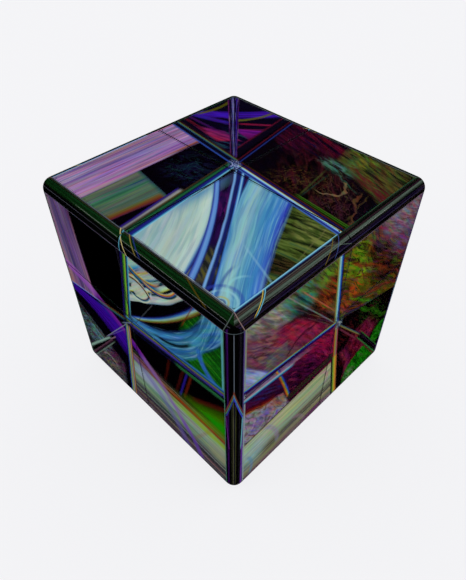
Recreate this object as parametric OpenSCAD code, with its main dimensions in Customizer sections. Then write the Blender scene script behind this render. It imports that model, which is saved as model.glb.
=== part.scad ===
// Mirror block cube: a two by two by two turning puzzle whose eight blocks all differ in size.
// The three cuts between the layers miss the cube's centre, and cross at the core's centre.
// Every moving face between two layers is a plane, or a sphere about the core's centre, so that
// any layer can turn about its own axis. The frame is millimetres, +Z up, -Y the front, with the
// origin at the middle of the underside.

/* [Cube] */
// Outside length of the cube's edges
cube_edge = 50; // [48:0.5:60]
// Radius of the rounded outer edges
edge_round = 2.2; // [1.4:0.1:3]
// Gap between two neighbouring blocks
seam_gap = 0.2; // [0.1:0.02:0.3]

/* [Cuts] */
// Left-right cut, from the cube's centre towards the right
cut_x = -1.5; // [-3:0.1:3]
// Front-back cut, from the cube's centre towards the back
cut_y = 1.5; // [-3:0.1:3]
// Upper-lower cut, from the cube's centre upwards
cut_z = 6; // [0:0.1:6]

/* [Glass tiles] */
// Thickness of a tile
tile_thick = 0.8; // [0.5:0.1:1.2]
// Casing left showing around a tile
tile_rim = 0.25; // [0.15:0.05:0.6]
// Corner radius of a tile, seen from the front
tile_corner = 0.6; // [0.3:0.1:1.2]
// Clearance around a tile in its pocket
tile_fit = 0.05; // [0.02:0.01:0.1]

/* [Block casings and bases] */
// Wall of the outer casing
casing_wall = 2; // [1.6:0.1:2.4]
// Wall of the inner base
base_wall = 1.2; // [0.8:0.1:1.6]
// Clearance between a base and its casing
casing_fit = 0.05; // [0.02:0.01:0.1]
// Radius of the post that joins base and casing
post_r = 1.4; // [1:0.1:1.6]
// Wall of the casing's socket for the post
socket_wall = 1; // [0.8:0.1:1.2]
// Depth of the socket
socket_depth = 5; // [3:0.5:6]
// Distance of the post from the casing's outer walls
post_inset = 3.4; // [3:0.1:4]

/* [Mechanism] */
// Outer radius of the hidden centres and inner edges
mech_r = 15; // [14:0.1:15]
// Radius between the feet and the pieces that hold them in
mid_r = 11.5; // [11:0.1:12]
// Radius between the core and the feet
core_r = 8.5; // [8:0.1:8.8]
// Distance of the cuts from the axes, above the feet
cut_outer = 5.2; // [4.8:0.1:5.6]
// Distance of the cuts from the axes, between the feet
cut_inner = 3.2; // [2.8:0.1:3.4]
// Gap between two hidden pieces
mech_gap = 0.2; // [0.15:0.05:0.25]
// How far a spring lets its layer lift off the core
lift = 0.3; // [0.1:0.05:0.3]

/* [Screws and springs] */
// Radius of a tension screw's shank
shank_r = 1; // [0.8:0.05:1.1]
// Radius of a tension screw's head
head_r = 2.2; // [1.9:0.1:2.3]
// Height of a tension screw's head
head_h = 1.2; // [0.8:0.1:1.4]
// Distance of a washer's seat from the core's centre
seat_z = 10.4; // [10:0.1:10.6]
// Thickness of a washer
washer_h = 0.3; // [0.2:0.05:0.4]
// Distance of a screw head's underside from the core's centre
head_z = 13; // [12.6:0.1:13.2]
// Radius of the well that a spring stands in
well_r = 2.7; // [2.5:0.05:2.8]
// Thickness of the spring's wire
wire_d = 0.4; // [0.3:0.05:0.5]
// Turns in a spring
spring_turns = 3.5; // [2.5:0.5:4]

/* [Hidden] */
$fn = 64;
SIDES = [
    ["left", -1], ["right", 1]
];
DEPTHS = [
    ["front", -1], ["back", 1]
];
HEIGHTS = [
    ["bottom", -1], ["top", 1]
];
// Each block's name, with the signs of its place along X, Y and Z.
BLOCKS = [
    for (h = HEIGHTS)
        for (d = DEPTHS)
            for (s = SIDES)
                [str(h[0], "_", d[0], "_", s[0]), [s[1], d[1], h[1]]]
];
// Each centre's name, with the turn that carries a centre from +Z to its own axis.
CENTRES = [
    ["top", [0, 0, 0]],
    ["bottom", [180, 0, 0]],
    ["left", [0, -90, 0]],
    ["right", [0, 90, 0]],
    ["front", [90, 0, 0]],
    ["back", [-90, 0, 0]]
];
QUARTERS = [0, 90, 180, 270];
TILE_FACES = ["x", "y", "z"];

cube_half = cube_edge / 2;
core_centre = [cut_x, cut_y, cube_half + cut_z];
seam = seam_gap / 2;
gap = mech_gap / 2;
cavity_r = mech_r + lift + mech_gap;
far = 2 * cube_edge;

// Names of a block's outer faces along X, Y and Z: the side, the depth and the height.
function outer_name(block, f) =
    f == "x" ? (block[1].x < 0 ? "left" : "right")
    : f == "y" ? (block[1].y < 0 ? "front" : "back")
    : (block[1].z < 0 ? "bottom" : "top");
function tile_name(block, f) = str(block[0], "_tile_", outer_name(block, f));

// A block's reach from the core's centre to its outer faces, along X, Y and Z.
function reach(signs) = [
    cube_half - signs.x * cut_x,
    cube_half - signs.y * cut_y,
    cube_half - signs.z * cut_z
];

// Carries a piece made in the positive octant about the core's centre to a block's own octant.
module in_octant(signs) {
    translate(core_centre)
        mirror([signs.x < 0 ? 1 : 0, 0, 0])
            mirror([0, signs.y < 0 ? 1 : 0, 0])
                mirror([0, 0, signs.z < 0 ? 1 : 0])
                    children();
}

// Turns +X towards the axis of a block's outer face.
module along(f) {
    if (f == "x") children();
    else if (f == "y") multmatrix([[0, 1, 0, 0], [1, 0, 0, 0], [0, 0, 1, 0]]) children();
    else multmatrix([[0, 0, 1, 0], [0, 1, 0, 0], [1, 0, 0, 0]]) children();
}

// A block's reach, in the order that along() puts its axes in.
function turned(size, f) =
    f == "x" ? size
    : f == "y" ? [size.y, size.x, size.z]
    : [size.z, size.y, size.x];

module box(low, high) {
    translate(low) cube(high - low);
}

// The part of space beyond a distance from each of three planes.
module beyond(x, y, z) {
    box([x, y, z], [far, far, far]);
}

module shell(inner, outer) {
    difference() {
        sphere(outer);
        sphere(inner);
    }
}

// ---- Blocks ----

// A rectangle from [0, 0] with one rounded corner, the one furthest out.
module one_round_corner(size, r) {
    union() {
        square([size.x - r, size.y]);
        square([size.x, size.y - r]);
        translate([size.x - r, size.y - r]) circle(r);
    }
}

// The outer form of a block: a box with three rounded edges that meet in a ball corner.
module block_form(size) {
    r = edge_round;
    difference() {
        intersection() {
            linear_extrude(size.z) one_round_corner([size.x, size.y], r);
            translate([0, size.y, 0]) rotate([90, 0, 0])
                linear_extrude(size.y) one_round_corner([size.x, size.z], r);
            rotate([90, 0, 90])
                linear_extrude(size.x) one_round_corner([size.y, size.z], r);
        }
        translate(size - [r, r, r]) difference() {
            cube(2 * r);
            sphere(r);
        }
    }
}

// The outline of a tile or, grown by the fit, of its pocket.
module tile_outline(size, grow) {
    low = seam + tile_rim - grow;
    high = size - [1, 1] * (edge_round + tile_rim - grow);
    r = tile_corner;
    translate([low, low]) {
        w = high.x - low;
        h = high.y - low;
        translate([r, 0]) square([w - 2 * r, h]);
        translate([0, r]) square([w, h - 2 * r]);
        for (x = [r, w - r], y = [r, h - r]) translate([x, y]) circle(r);
    }
}

// The tile on the outer face along X, with the size in the order that along() gives.
module tile_solid(size, grow = 0) {
    translate([size.x - tile_thick, 0, 0])
        rotate([90, 0, 90])
            linear_extrude(tile_thick + grow) tile_outline([size.y, size.z], grow);
}

// A block's inner corner, where its three outer walls meet.
function inner_corner(block) = reach(block[1]) - casing_wall * [1, 1, 1];

// An upright cylinder on the axis of a block's post.
module on_post(corner, low, high, r) {
    translate([corner.x - post_inset, corner.y - post_inset, low]) cylinder(r = r, h = high - low);
}

// The casing: three outer walls with pockets for the tiles, and a socket for the base's post.
module block_casing(block) {
    size = reach(block[1]);
    corner = inner_corner(block);
    color([0.03, 0.05, 0.05]) in_octant(block[1]) difference() {
        union() {
            difference() {
                intersection() {
                    block_form(size);
                    beyond(seam, seam, seam);
                }
                box([-1, -1, -1], corner);
            }
            on_post(corner, corner.z - socket_depth, corner.z + casing_wall / 4, post_r + socket_wall);
        }
        for (f = TILE_FACES) along(f) tile_solid(turned(size, f), tile_fit);
        on_post(corner, corner.z - socket_depth - 1, corner.z, post_r + casing_fit);
    }
}

// The base: three inner walls round a ball seat, with a leg and a foot that reach into the mechanism.
module block_base(block) {
    corner = inner_corner(block);
    limit = corner - casing_fit * [1, 1, 1];
    color([0.09, 0.09, 0.1]) in_octant(block[1]) union() {
        difference() {
            union() {
                difference() {
                    box(seam * [1, 1, 1], limit);
                    beyond(seam + base_wall, seam + base_wall, seam + base_wall);
                }
                intersection() {
                    sphere(cavity_r + base_wall);
                    box(seam * [1, 1, 1], limit);
                }
                on_post(corner, seam + base_wall / 2, corner.z - 4 * casing_fit, post_r);
            }
            sphere(cavity_r);
        }
        corner_leg();
    }
}

// The leg stands outside the outer cuts, and its foot spreads below them to the inner cuts.
module corner_leg() {
    outer = cut_outer + gap;
    inner = cut_inner + gap;
    intersection() {
        shell(core_r + gap, cavity_r + base_wall / 2);
        beyond(outer, outer, outer);
    }
    intersection() {
        shell(core_r + gap, mid_r - gap);
        beyond(inner, inner, inner);
    }
}

module block_tile(block, f) {
    size = reach(block[1]);
    color([0.3, 0.45, 0.55]) in_octant(block[1]) along(f) tile_solid(turned(size, f));
}

// ---- Hidden mechanism ----

// A ball with eight dimples under the feet and six flats, each with a blind hole for a screw.
module core_ball() {
    flat = core_r - 2 * gap;
    color([0.85, 0.85, 0.82]) translate(core_centre) difference() {
        intersection() {
            sphere(core_r - gap);
            cube(2 * flat, center = true);
        }
        for (x = [-1, 1], y = [-1, 1], z = [-1, 1])
            translate(0.65 * core_r * [x, y, z]) sphere(0.45 * core_r);
        for (c = CENTRES) rotate(c[1]) translate([0, 0, 3.5]) cylinder(r = shank_r, h = far);
    }
}

// A centre: a square cap that holds the feet in, a neck, and a well for the spring.
module centre_solid() {
    wide = 2 * (cut_outer - gap);
    narrow = 2 * (cut_inner - gap);
    difference() {
        union() {
            intersection() {
                shell(mid_r + gap, mech_r);
                translate([-wide / 2, -wide / 2, cut_outer]) cube([wide, wide, far]);
            }
            intersection() {
                shell(core_r + gap, mech_r - 1);
                translate([-narrow / 2, -narrow / 2, cut_outer]) cube([narrow, narrow, far]);
            }
        }
        cylinder(r = shank_r + 0.15, h = far);
        translate([0, 0, seat_z]) cylinder(r = well_r, h = far);
    }
}

// An inner edge on the +Y +Z side: a cap between two blocks, and a foot under two centres.
module inner_edge_solid() {
    wide = cut_outer - gap;
    narrow = cut_inner - gap;
    outer = cut_outer + gap;
    inner = cut_inner + gap;
    intersection() {
        shell(mid_r + gap, mech_r);
        box([-wide, outer, outer], [wide, far, far]);
    }
    intersection() {
        shell(core_r + gap, mech_r - 1);
        box([-narrow, outer, outer], [narrow, far, far]);
    }
    intersection() {
        shell(core_r + gap, mid_r - gap);
        box([-narrow, inner, inner], [narrow, far, far]);
    }
}

module hidden_centre(c) {
    color([0.12, 0.12, 0.14]) translate(core_centre) rotate(c[1]) centre_solid();
}

module inner_edges(tilt) {
    color([0.16, 0.16, 0.18]) translate(core_centre)
        for (q = QUARTERS) rotate([0, 0, q]) rotate(tilt) inner_edge_solid();
}

module washer(c) {
    color([0.8, 0.7, 0.45]) translate(core_centre) rotate(c[1])
        translate([0, 0, seat_z]) difference() {
            cylinder(r = head_r + 0.2, h = washer_h);
            translate([0, 0, -1]) cylinder(r = shank_r + 0.15, h = washer_h + 2);
        }
}

// A screw: a shank with a blunt point, and a pan head with a cross recess.
module screw_solid() {
    tip = 3.9;
    slot = [0.5, 2.4, 1];
    cylinder_r = shank_r - 0.02;
    difference() {
        union() {
            translate([0, 0, tip + cylinder_r / 2]) cylinder(r = cylinder_r, h = head_z - tip);
            translate([0, 0, tip]) cylinder(r1 = cylinder_r / 2, r2 = cylinder_r, h = cylinder_r / 2);
            translate([0, 0, head_z]) cylinder(r = head_r, h = head_h);
        }
        for (q = [0, 90]) rotate([0, 0, q])
            translate([-slot.x / 2, -slot.y / 2, head_z + head_h - 0.7]) cube(slot);
    }
}

// A point of a helix of spring_turns turns between two heights, and the ring of wire round it.
function coil_centre(t, r, low, high) = [
    r * cos(360 * spring_turns * t),
    r * sin(360 * spring_turns * t),
    low + (high - low) * t
];
function coil_ring(t, r, low, high, sides) = [
    for (k = [0 : sides - 1])
        let (
            a = 360 * k / sides,
            turn = 360 * spring_turns * t,
            out = r + wire_d / 2 * cos(a)
        )
        [out * cos(turn), out * sin(turn), coil_centre(t, r, low, high).z + wire_d / 2 * sin(a)]
];

// A compression spring, as one swept tube with closed ends.
module spring_solid() {
    sides = 6;
    steps = ceil(14 * spring_turns);
    r = head_r - wire_d / 2;
    low = seat_z + washer_h + wire_d / 2;
    high = head_z - wire_d / 2;
    points = [for (i = [0 : steps]) each coil_ring(i / steps, r, low, high, sides)];
    walls = [
        for (i = [0 : steps - 1], k = [0 : sides - 1])
            let (n = (k + 1) % sides, a = i * sides, b = a + sides)
            each [[a + k, b + k, b + n], [a + k, b + n, a + n]]
    ];
    ends = [
        for (k = [1 : sides - 2])
            each [[0, k, k + 1], [steps * sides, steps * sides + k + 1, steps * sides + k]]
    ];
    polyhedron(points, concat(walls, ends));
}

module at_every_screw() {
    translate(core_centre) for (c = CENTRES) rotate(c[1]) children();
}

module tension_screws() {
    color([0.75, 0.76, 0.78]) at_every_screw() screw_solid();
}

module tension_springs() {
    color([0.7, 0.72, 0.75]) at_every_screw() spring_solid();
}

// ---- Drawing ----

for (b = BLOCKS) {
    block_casing(b);
    block_base(b);
    for (f = TILE_FACES)
        block_tile(b, f);
}
for (c = CENTRES) {
    hidden_centre(c);
    washer(c);
}
inner_edges([0, 0, 0]);  // top_inner_edges
inner_edges([0, 90, 0]);  // middle_inner_edges
inner_edges([0, 180, 0]);  // bottom_inner_edges
core_ball();
tension_screws();
tension_springs();
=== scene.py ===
"""Mirror block cube: a turning puzzle with dark glass tiles in polished casings, round a sprung core.

Every length is in metres, apart from those named or described as millimetres. The pattern in the glass is
drawn on each side of the cube in millimetres from the middle of that side, seen from outside.
"""
import logging
import math
from dataclasses import dataclass, field
from enum import Enum
from functools import cache
from typing import Any, Optional, Union

import bmesh
import bpy
from mathutils import Matrix, Vector

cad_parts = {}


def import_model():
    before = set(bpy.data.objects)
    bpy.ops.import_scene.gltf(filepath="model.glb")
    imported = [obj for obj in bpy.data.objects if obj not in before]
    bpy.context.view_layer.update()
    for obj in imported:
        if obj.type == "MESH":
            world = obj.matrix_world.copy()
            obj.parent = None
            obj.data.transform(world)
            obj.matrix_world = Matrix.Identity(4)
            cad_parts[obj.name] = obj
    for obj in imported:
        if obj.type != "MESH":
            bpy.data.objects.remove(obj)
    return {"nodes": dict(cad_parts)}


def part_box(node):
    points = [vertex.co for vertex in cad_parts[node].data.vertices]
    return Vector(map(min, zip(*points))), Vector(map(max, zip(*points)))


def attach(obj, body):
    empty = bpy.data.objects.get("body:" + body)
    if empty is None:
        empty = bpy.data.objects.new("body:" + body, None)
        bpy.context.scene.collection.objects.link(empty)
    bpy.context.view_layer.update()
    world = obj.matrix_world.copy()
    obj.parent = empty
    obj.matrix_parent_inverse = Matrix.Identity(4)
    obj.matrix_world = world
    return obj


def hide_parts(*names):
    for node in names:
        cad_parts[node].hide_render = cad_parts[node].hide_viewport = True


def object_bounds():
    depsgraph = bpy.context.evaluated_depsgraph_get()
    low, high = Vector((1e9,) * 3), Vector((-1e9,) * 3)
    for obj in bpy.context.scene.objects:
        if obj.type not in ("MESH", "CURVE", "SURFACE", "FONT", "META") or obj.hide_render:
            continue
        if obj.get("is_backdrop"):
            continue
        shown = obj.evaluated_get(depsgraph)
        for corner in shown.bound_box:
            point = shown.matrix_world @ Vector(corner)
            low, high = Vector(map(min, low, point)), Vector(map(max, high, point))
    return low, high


LOG = logging.getLogger("mirror_block_cube")
MM = 0.001
BLACK_GLASS = "#020104"
PLAIN_HUE = 0.5  # the hue setting that changes nothing
NOISE_RANGE = (0.36, 0.64)  # nearly all of the noise lies between these
HAIR_SHIFT = 7.3  # keeps the sets of hairs on one ribbon apart in the noise
ALIGNED = 0.999  # the least cosine of directions that count as the same

Point = tuple[float, float]
Stop = tuple[float, str, float]
Socket = bpy.types.NodeSocket


def to_linear(code: str) -> tuple[float, float, float, float]:
    """Turns an sRGB colour to the linear one that shaders take.

    Args:
        code: The colour as "#rrggbb".

    Returns:
        Linear red, green and blue, and an alpha of 1.
    """
    parts = [int(code[i : i + 2], 16) / 255 for i in (1, 3, 5)]
    red, green, blue = (p / 12.92 if p <= 0.04045 else ((p + 0.055) / 1.055) ** 2.4 for p in parts)
    return red, green, blue, 1.0


def add_node(
    tree: bpy.types.NodeTree, kind: str, inputs: Optional[dict[Union[str, int], Any]] = None, **settings: Any
) -> bpy.types.Node:
    """Adds one node to a tree.

    Args:
        tree: The tree that the node joins.
        kind: The node's type, such as "ShaderNodeMath".
        inputs: Input name or number to a socket, which is linked, or to a plain value.
        **settings: The node's own properties, such as operation.

    Returns:
        The new node.
    """
    node = tree.nodes.new(kind)
    for name, value in settings.items():
        setattr(node, name, value)
    for key, value in (inputs or {}).items():
        if isinstance(value, Socket):
            tree.links.new(value, node.inputs[key])
        else:
            node.inputs[key].default_value = value
    return node


def new_material(name: str) -> tuple[bpy.types.Material, bpy.types.NodeTree, bpy.types.Node]:
    """Makes a material, and returns it with its tree and its main shader.

    Args:
        name: The material's name.
    """
    material = bpy.data.materials.new(name)
    material.use_nodes = True
    tree = material.node_tree
    return material, tree, tree.nodes["Principled BSDF"]


def set_ramp(ramp: bpy.types.ColorRamp, stops: tuple[Stop, ...]) -> tuple[float, float]:
    """Fills a colour ramp from stops in any unit.

    Args:
        ramp: The ramp to fill.
        stops: Place, colour and opacity of each stop, in order.

    Returns:
        The places that stand at the ramp's 0 and 1.
    """
    low, high = stops[0][0], stops[-1][0]
    while len(ramp.elements) < len(stops):
        ramp.elements.new(1.0)
    for element, (place, code, opacity) in zip(ramp.elements, stops):
        element.position = (place - low) / (high - low)
        element.color = (*to_linear(code)[:3], opacity)
    return low, high


class Blend(Enum):
    """How a layer of the pattern lies on what is below it."""

    COVER = "MIX"
    TINT = "OVERLAY"


class Side(Enum):
    """A side of the cube: its outward axis, and the axes that run right and up on it, seen from outside."""

    TOP = ((0, 0, 1), (1, 0, 0), (0, 1, 0))
    FRONT = ((0, -1, 0), (1, 0, 0), (0, 0, 1))
    RIGHT = ((1, 0, 0), (0, 1, 0), (0, 0, 1))
    LEFT = ((-1, 0, 0), (0, -1, 0), (0, 0, 1))
    BACK = ((0, 1, 0), (-1, 0, 0), (0, 0, 1))
    BOTTOM = ((0, 0, -1), (1, 0, 0), (0, 1, 0))

    @property
    def out(self) -> Vector:
        """The outward axis."""
        return Vector(self.value[0])

    @property
    def flat(self) -> Matrix:
        """The matrix that lays the side's own right and up along X and Y. The underside is read from above."""
        out, right, up = (Vector(v) for v in self.value)
        return Matrix((right, up, right.cross(up)))


# ---- The pattern in the glass ----


def cover(
    tree: bpy.types.NodeTree, below: Any, colour: Any, share: Any, blend: Blend = Blend.COVER
) -> Socket:
    """Lays one colour over another.

    Args:
        tree: The tree that the node joins.
        below: The lower colour, as a socket or a value.
        colour: The upper colour, as a socket or a value.
        share: The upper colour's opacity, as a socket or a value.
        blend: How the two mix.

    Returns:
        The mixed colour.
    """
    inputs = {0: share, 6: below, 7: colour}
    return add_node(tree, "ShaderNodeMix", inputs, data_type="RGBA", blend_type=blend.value).outputs[2]


@dataclass(frozen=True)
class Layer:
    """Something in the glass, drawn over the colours below it. Each kind of layer has its own draw."""

    def draw(self, tree: bpy.types.NodeTree, place: Socket, below: Socket) -> Socket:
        """Adds the layer's nodes to a tree.

        Args:
            tree: The tree.
            place: The place on the side, in millimetres.
            below: The colour below the layer.

        Returns:
            The colour that shows.
        """
        raise NotImplementedError

    @cache
    def group(self) -> bpy.types.NodeTree:
        """Makes the layer's node group once, for every side that it is drawn on, and returns it."""
        group = bpy.data.node_groups.new(type(self).__name__.lower(), "ShaderNodeTree")
        group.interface.new_socket("Place", in_out="INPUT", socket_type="NodeSocketVector")
        group.interface.new_socket("Below", in_out="INPUT", socket_type="NodeSocketColor")
        group.interface.new_socket("Colour", in_out="OUTPUT", socket_type="NodeSocketColor")
        given = add_node(group, "NodeGroupInput").outputs
        # A trace of the colour below has the layers worked out in turn, which spares the shader's small memory.
        inputs = {0: given["Below"], 1: (1e-6,) * 3, 2: given["Place"]}
        place = add_node(group, "ShaderNodeVectorMath", inputs, operation="MULTIPLY_ADD").outputs[0]
        add_node(group, "NodeGroupOutput", {"Colour": self.draw(group, place, given["Below"])})
        return group


def paint(tree: bpy.types.NodeTree, place: Socket, below: Socket, layers: tuple[Layer, ...]) -> Socket:
    """Lays layers over a colour, from the bottom up.

    Args:
        tree: The tree that they are drawn in.
        place: The place on the side, in millimetres.
        below: The colour that is there already.
        layers: The layers.

    Returns:
        The colour that shows.
    """
    for layer in layers:
        inputs = {"Place": place, "Below": below}
        below = add_node(tree, "ShaderNodeGroup", inputs, node_tree=layer.group()).outputs["Colour"]
    return below


@dataclass(frozen=True)
class Streaks:
    """Fine hairs of another colour that run along a ribbon.

    Attributes:
        code: Their colour.
        pitch: How far apart they lie, in millimetres.
        length: Their length, in millimetres.
        strength: Their opacity.
        share: The share of the ribbon that they take up.
    """

    code: str
    pitch: float
    length: float
    strength: float = 0.6
    share: float = 0.5

    @property
    def edges(self) -> tuple[float, float]:
        """The noise values between which a hair fades in."""
        edge = 0.68 - 0.36 * self.share
        return edge - 0.03, edge + 0.07


@dataclass(frozen=True)
class Route:
    """Where a ribbon's path lies: a straight line, or an arc about a centre.

    Attributes:
        anchor: The line's middle, or the arc's centre.
        heading: The angle of the line, or of the spoke to the arc's middle.
        half: Half the path's length.
        radius: The arc's radius, or 0 for a line.
        left_turn: Whether the arc turns left.
    """

    anchor: Vector
    heading: float
    half: float
    radius: float = 0.0
    left_turn: bool = True

    @classmethod
    def through(cls, path: tuple[Point, ...]) -> "Route":
        """Fits a line or an arc.

        Args:
            path: Two points, or three that aren't in line.

        Returns:
            The route, with its anchor on a line's middle or at an arc's centre.
        """
        points = [Vector(p) for p in path]
        start, end = points[0], points[-1]
        if len(points) == 2:
            run = end - start
            return cls((start + end) / 2, math.atan2(run.y, run.x), run.length / 2)
        middle = points[1]
        one, two = middle - start, end - start
        twice_area = 2 * (one.x * two.y - one.y * two.x)
        centre = start + Vector(
            (
                two.y * one.length_squared - one.y * two.length_squared,
                one.x * two.length_squared - two.x * one.length_squared,
            )
        ) / twice_area
        spoke = middle - centre
        radius = spoke.length
        half = radius * math.asin(min(1.0, two.length / 2 / radius))
        return cls(centre, math.atan2(spoke.y, spoke.x), half, radius, twice_area > 0)


@dataclass(frozen=True)
class Ribbon(Layer):
    """A band of light along a straight line through two points, or an arc through three.

    Attributes:
        path: The points, in millimetres.
        across: Millimetres to the left of the path, colour and opacity.
        streaks: Hairs that run along it.
        taper: Its width at the end, as a share of that at the start.
        ends: Millimetres over which it fades at both ends. None lets it run on.
        wave: Millimetres that it strays sideways, and over how many along it.
        strength: Its opacity as a whole.
    """

    path: tuple[Point, ...]
    across: tuple[Stop, ...]
    streaks: tuple[Streaks, ...] = ()
    taper: float = 1.0
    ends: Optional[float] = None
    wave: tuple[float, float] = (0.0, 10.0)
    strength: float = 1.0

    def draw(self, tree: bpy.types.NodeTree, place: Socket, below: Socket) -> Socket:
        """Adds the ribbon to a tree, and returns the colour that shows."""
        route = Route.through(self.path)
        unturn = Matrix.Rotation(-route.heading, 2)
        corner = unturn @ route.anchor
        inputs = {
            "Vector": place,
            "Location": (-corner.x, -corner.y, 0),
            "Rotation": (0, 0, -route.heading),
            "Scale": (1, 1, 0),
        }
        local = add_node(tree, "ShaderNodeMapping", inputs).outputs[0]
        split = add_node(tree, "ShaderNodeSeparateXYZ", {0: local}).outputs
        along, left = split[0], split[1]
        if route.radius:
            hand = 1 if route.left_turn else -1
            spoke = add_node(tree, "ShaderNodeVectorMath", {0: local}, operation="LENGTH").outputs["Value"]
            inputs = {0: spoke, 1: -hand, 2: hand * route.radius}
            left = add_node(tree, "ShaderNodeMath", inputs, operation="MULTIPLY_ADD").outputs[0]
            bend = add_node(tree, "ShaderNodeMath", {0: split[1], 1: split[0]}, operation="ARCTAN2").outputs[0]
            inputs = {0: bend, 1: hand * route.radius}
            along = add_node(tree, "ShaderNodeMath", inputs, operation="MULTIPLY").outputs[0]
        if self.wave[0]:
            drift = add_node(
                tree,
                "ShaderNodeTexNoise",
                {"Vector": place, "Scale": 1 / self.wave[1], "Detail": 1.0},
                noise_dimensions="2D",
            ).outputs[0]
            inputs = {"Value": drift, "To Min": -2 * self.wave[0], "To Max": 2 * self.wave[0]}
            shift = add_node(tree, "ShaderNodeMapRange", inputs).outputs[0]
            left = add_node(tree, "ShaderNodeMath", {0: left, 1: shift}, operation="ADD").outputs[0]
        if self.taper != 1:
            inputs = {"Value": along, "From Min": -route.half, "From Max": route.half}
            inputs.update({"To Min": 1.0, "To Max": self.taper})
            width = add_node(tree, "ShaderNodeMapRange", inputs).outputs[0]
            left = add_node(tree, "ShaderNodeMath", {0: left, 1: width}, operation="DIVIDE").outputs[0]
        ramp = add_node(tree, "ShaderNodeValToRGB")
        low, high = set_ramp(ramp.color_ramp, self.across)
        spread = add_node(tree, "ShaderNodeMapRange", {"Value": left, "From Min": low, "From Max": high})
        tree.links.new(spread.outputs[0], ramp.inputs[0])
        colour, share = ramp.outputs[0], ramp.outputs[1]
        for number, hair in enumerate(self.streaks):
            run = add_node(tree, "ShaderNodeCombineXYZ", {0: along, 1: left, 2: HAIR_SHIFT * number}).outputs[0]
            inputs = {"Vector": run, "Scale": (1 / hair.length, 1 / hair.pitch, 1)}
            run = add_node(tree, "ShaderNodeMapping", inputs).outputs[0]
            grain = add_node(tree, "ShaderNodeTexNoise", {"Vector": run, "Scale": 1.0, "Detail": 3.0}).outputs[0]
            faint, full = hair.edges
            inputs = {"Value": grain, "From Min": faint, "From Max": full, "To Max": hair.strength}
            thread = add_node(tree, "ShaderNodeMapRange", inputs).outputs[0]
            colour = cover(tree, colour, to_linear(hair.code), thread)
        if self.ends is not None:
            span = add_node(tree, "ShaderNodeMath", {0: along}, operation="ABSOLUTE").outputs[0]
            inputs = {"Value": span, "From Min": route.half - self.ends, "From Max": route.half + self.ends}
            inputs.update({"To Min": self.strength, "To Max": 0.0})
            fade = add_node(tree, "ShaderNodeMapRange", inputs, interpolation_type="SMOOTHSTEP").outputs[0]
            share = add_node(tree, "ShaderNodeMath", {0: share, 1: fade}, operation="MULTIPLY").outputs[0]
        elif self.strength != 1:
            inputs = {0: share, 1: self.strength}
            share = add_node(tree, "ShaderNodeMath", inputs, operation="MULTIPLY").outputs[0]
        return cover(tree, below, colour, share)


@dataclass(frozen=True)
class Cloud(Layer):
    """A patch of marbling inside a soft-edged ellipse.

    Attributes:
        at: Its middle, in millimetres.
        reach: Its half width and half height, in millimetres.
        grain: The size of the marbling along and across, in millimetres.
        stops: Strength of the marbling from 0 to 1, colour and opacity.
        turn: Degrees that it is turned by, anticlockwise.
        edge: The share of its reach over which it fades.
        swirl: How much the marbling curls.
    """

    at: Point
    reach: Point
    grain: Point
    stops: tuple[Stop, ...]
    turn: float = 0.0
    edge: float = 0.5
    swirl: float = 0.0

    def draw(self, tree: bpy.types.NodeTree, place: Socket, below: Socket) -> Socket:
        """Adds the marbling to a tree, and returns the colour that shows."""
        angle = math.radians(self.turn)
        corner = Matrix.Rotation(-angle, 2) @ Vector(self.at)
        inputs = {"Vector": place, "Location": (-corner.x, -corner.y, 0), "Rotation": (0, 0, -angle)}
        local = add_node(tree, "ShaderNodeMapping", inputs).outputs[0]
        inputs = {"Vector": local, "Scale": (1 / self.grain[0], 1 / self.grain[1], 0)}
        inputs["Location"] = (self.at[0], self.at[1], 0)
        run = add_node(tree, "ShaderNodeMapping", inputs).outputs[0]
        inputs = {"Vector": run, "Scale": 1.0, "Detail": 4.0, "Roughness": 0.55, "Distortion": self.swirl}
        grain = add_node(tree, "ShaderNodeTexNoise", inputs, noise_dimensions="2D").outputs[0]
        ramp = add_node(tree, "ShaderNodeValToRGB")
        low, high = set_ramp(ramp.color_ramp, self.stops)
        spread = add_node(tree, "ShaderNodeMapRange", {"Value": grain, "From Min": low, "From Max": high})
        tree.links.new(spread.outputs[0], ramp.inputs[0])
        inputs = {"Vector": local, "Scale": (1 / self.reach[0], 1 / self.reach[1], 0)}
        fit = add_node(tree, "ShaderNodeMapping", inputs).outputs[0]
        away = add_node(tree, "ShaderNodeVectorMath", {0: fit}, operation="LENGTH").outputs["Value"]
        inputs = {"Value": away, "From Min": 1 - self.edge, "From Max": 1.0, "To Min": 1.0, "To Max": 0.0}
        fade = add_node(tree, "ShaderNodeMapRange", inputs, interpolation_type="SMOOTHSTEP").outputs[0]
        share = add_node(tree, "ShaderNodeMath", {0: ramp.outputs[1], 1: fade}, operation="MULTIPLY").outputs[0]
        return cover(tree, below, ramp.outputs[0], share)


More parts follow.
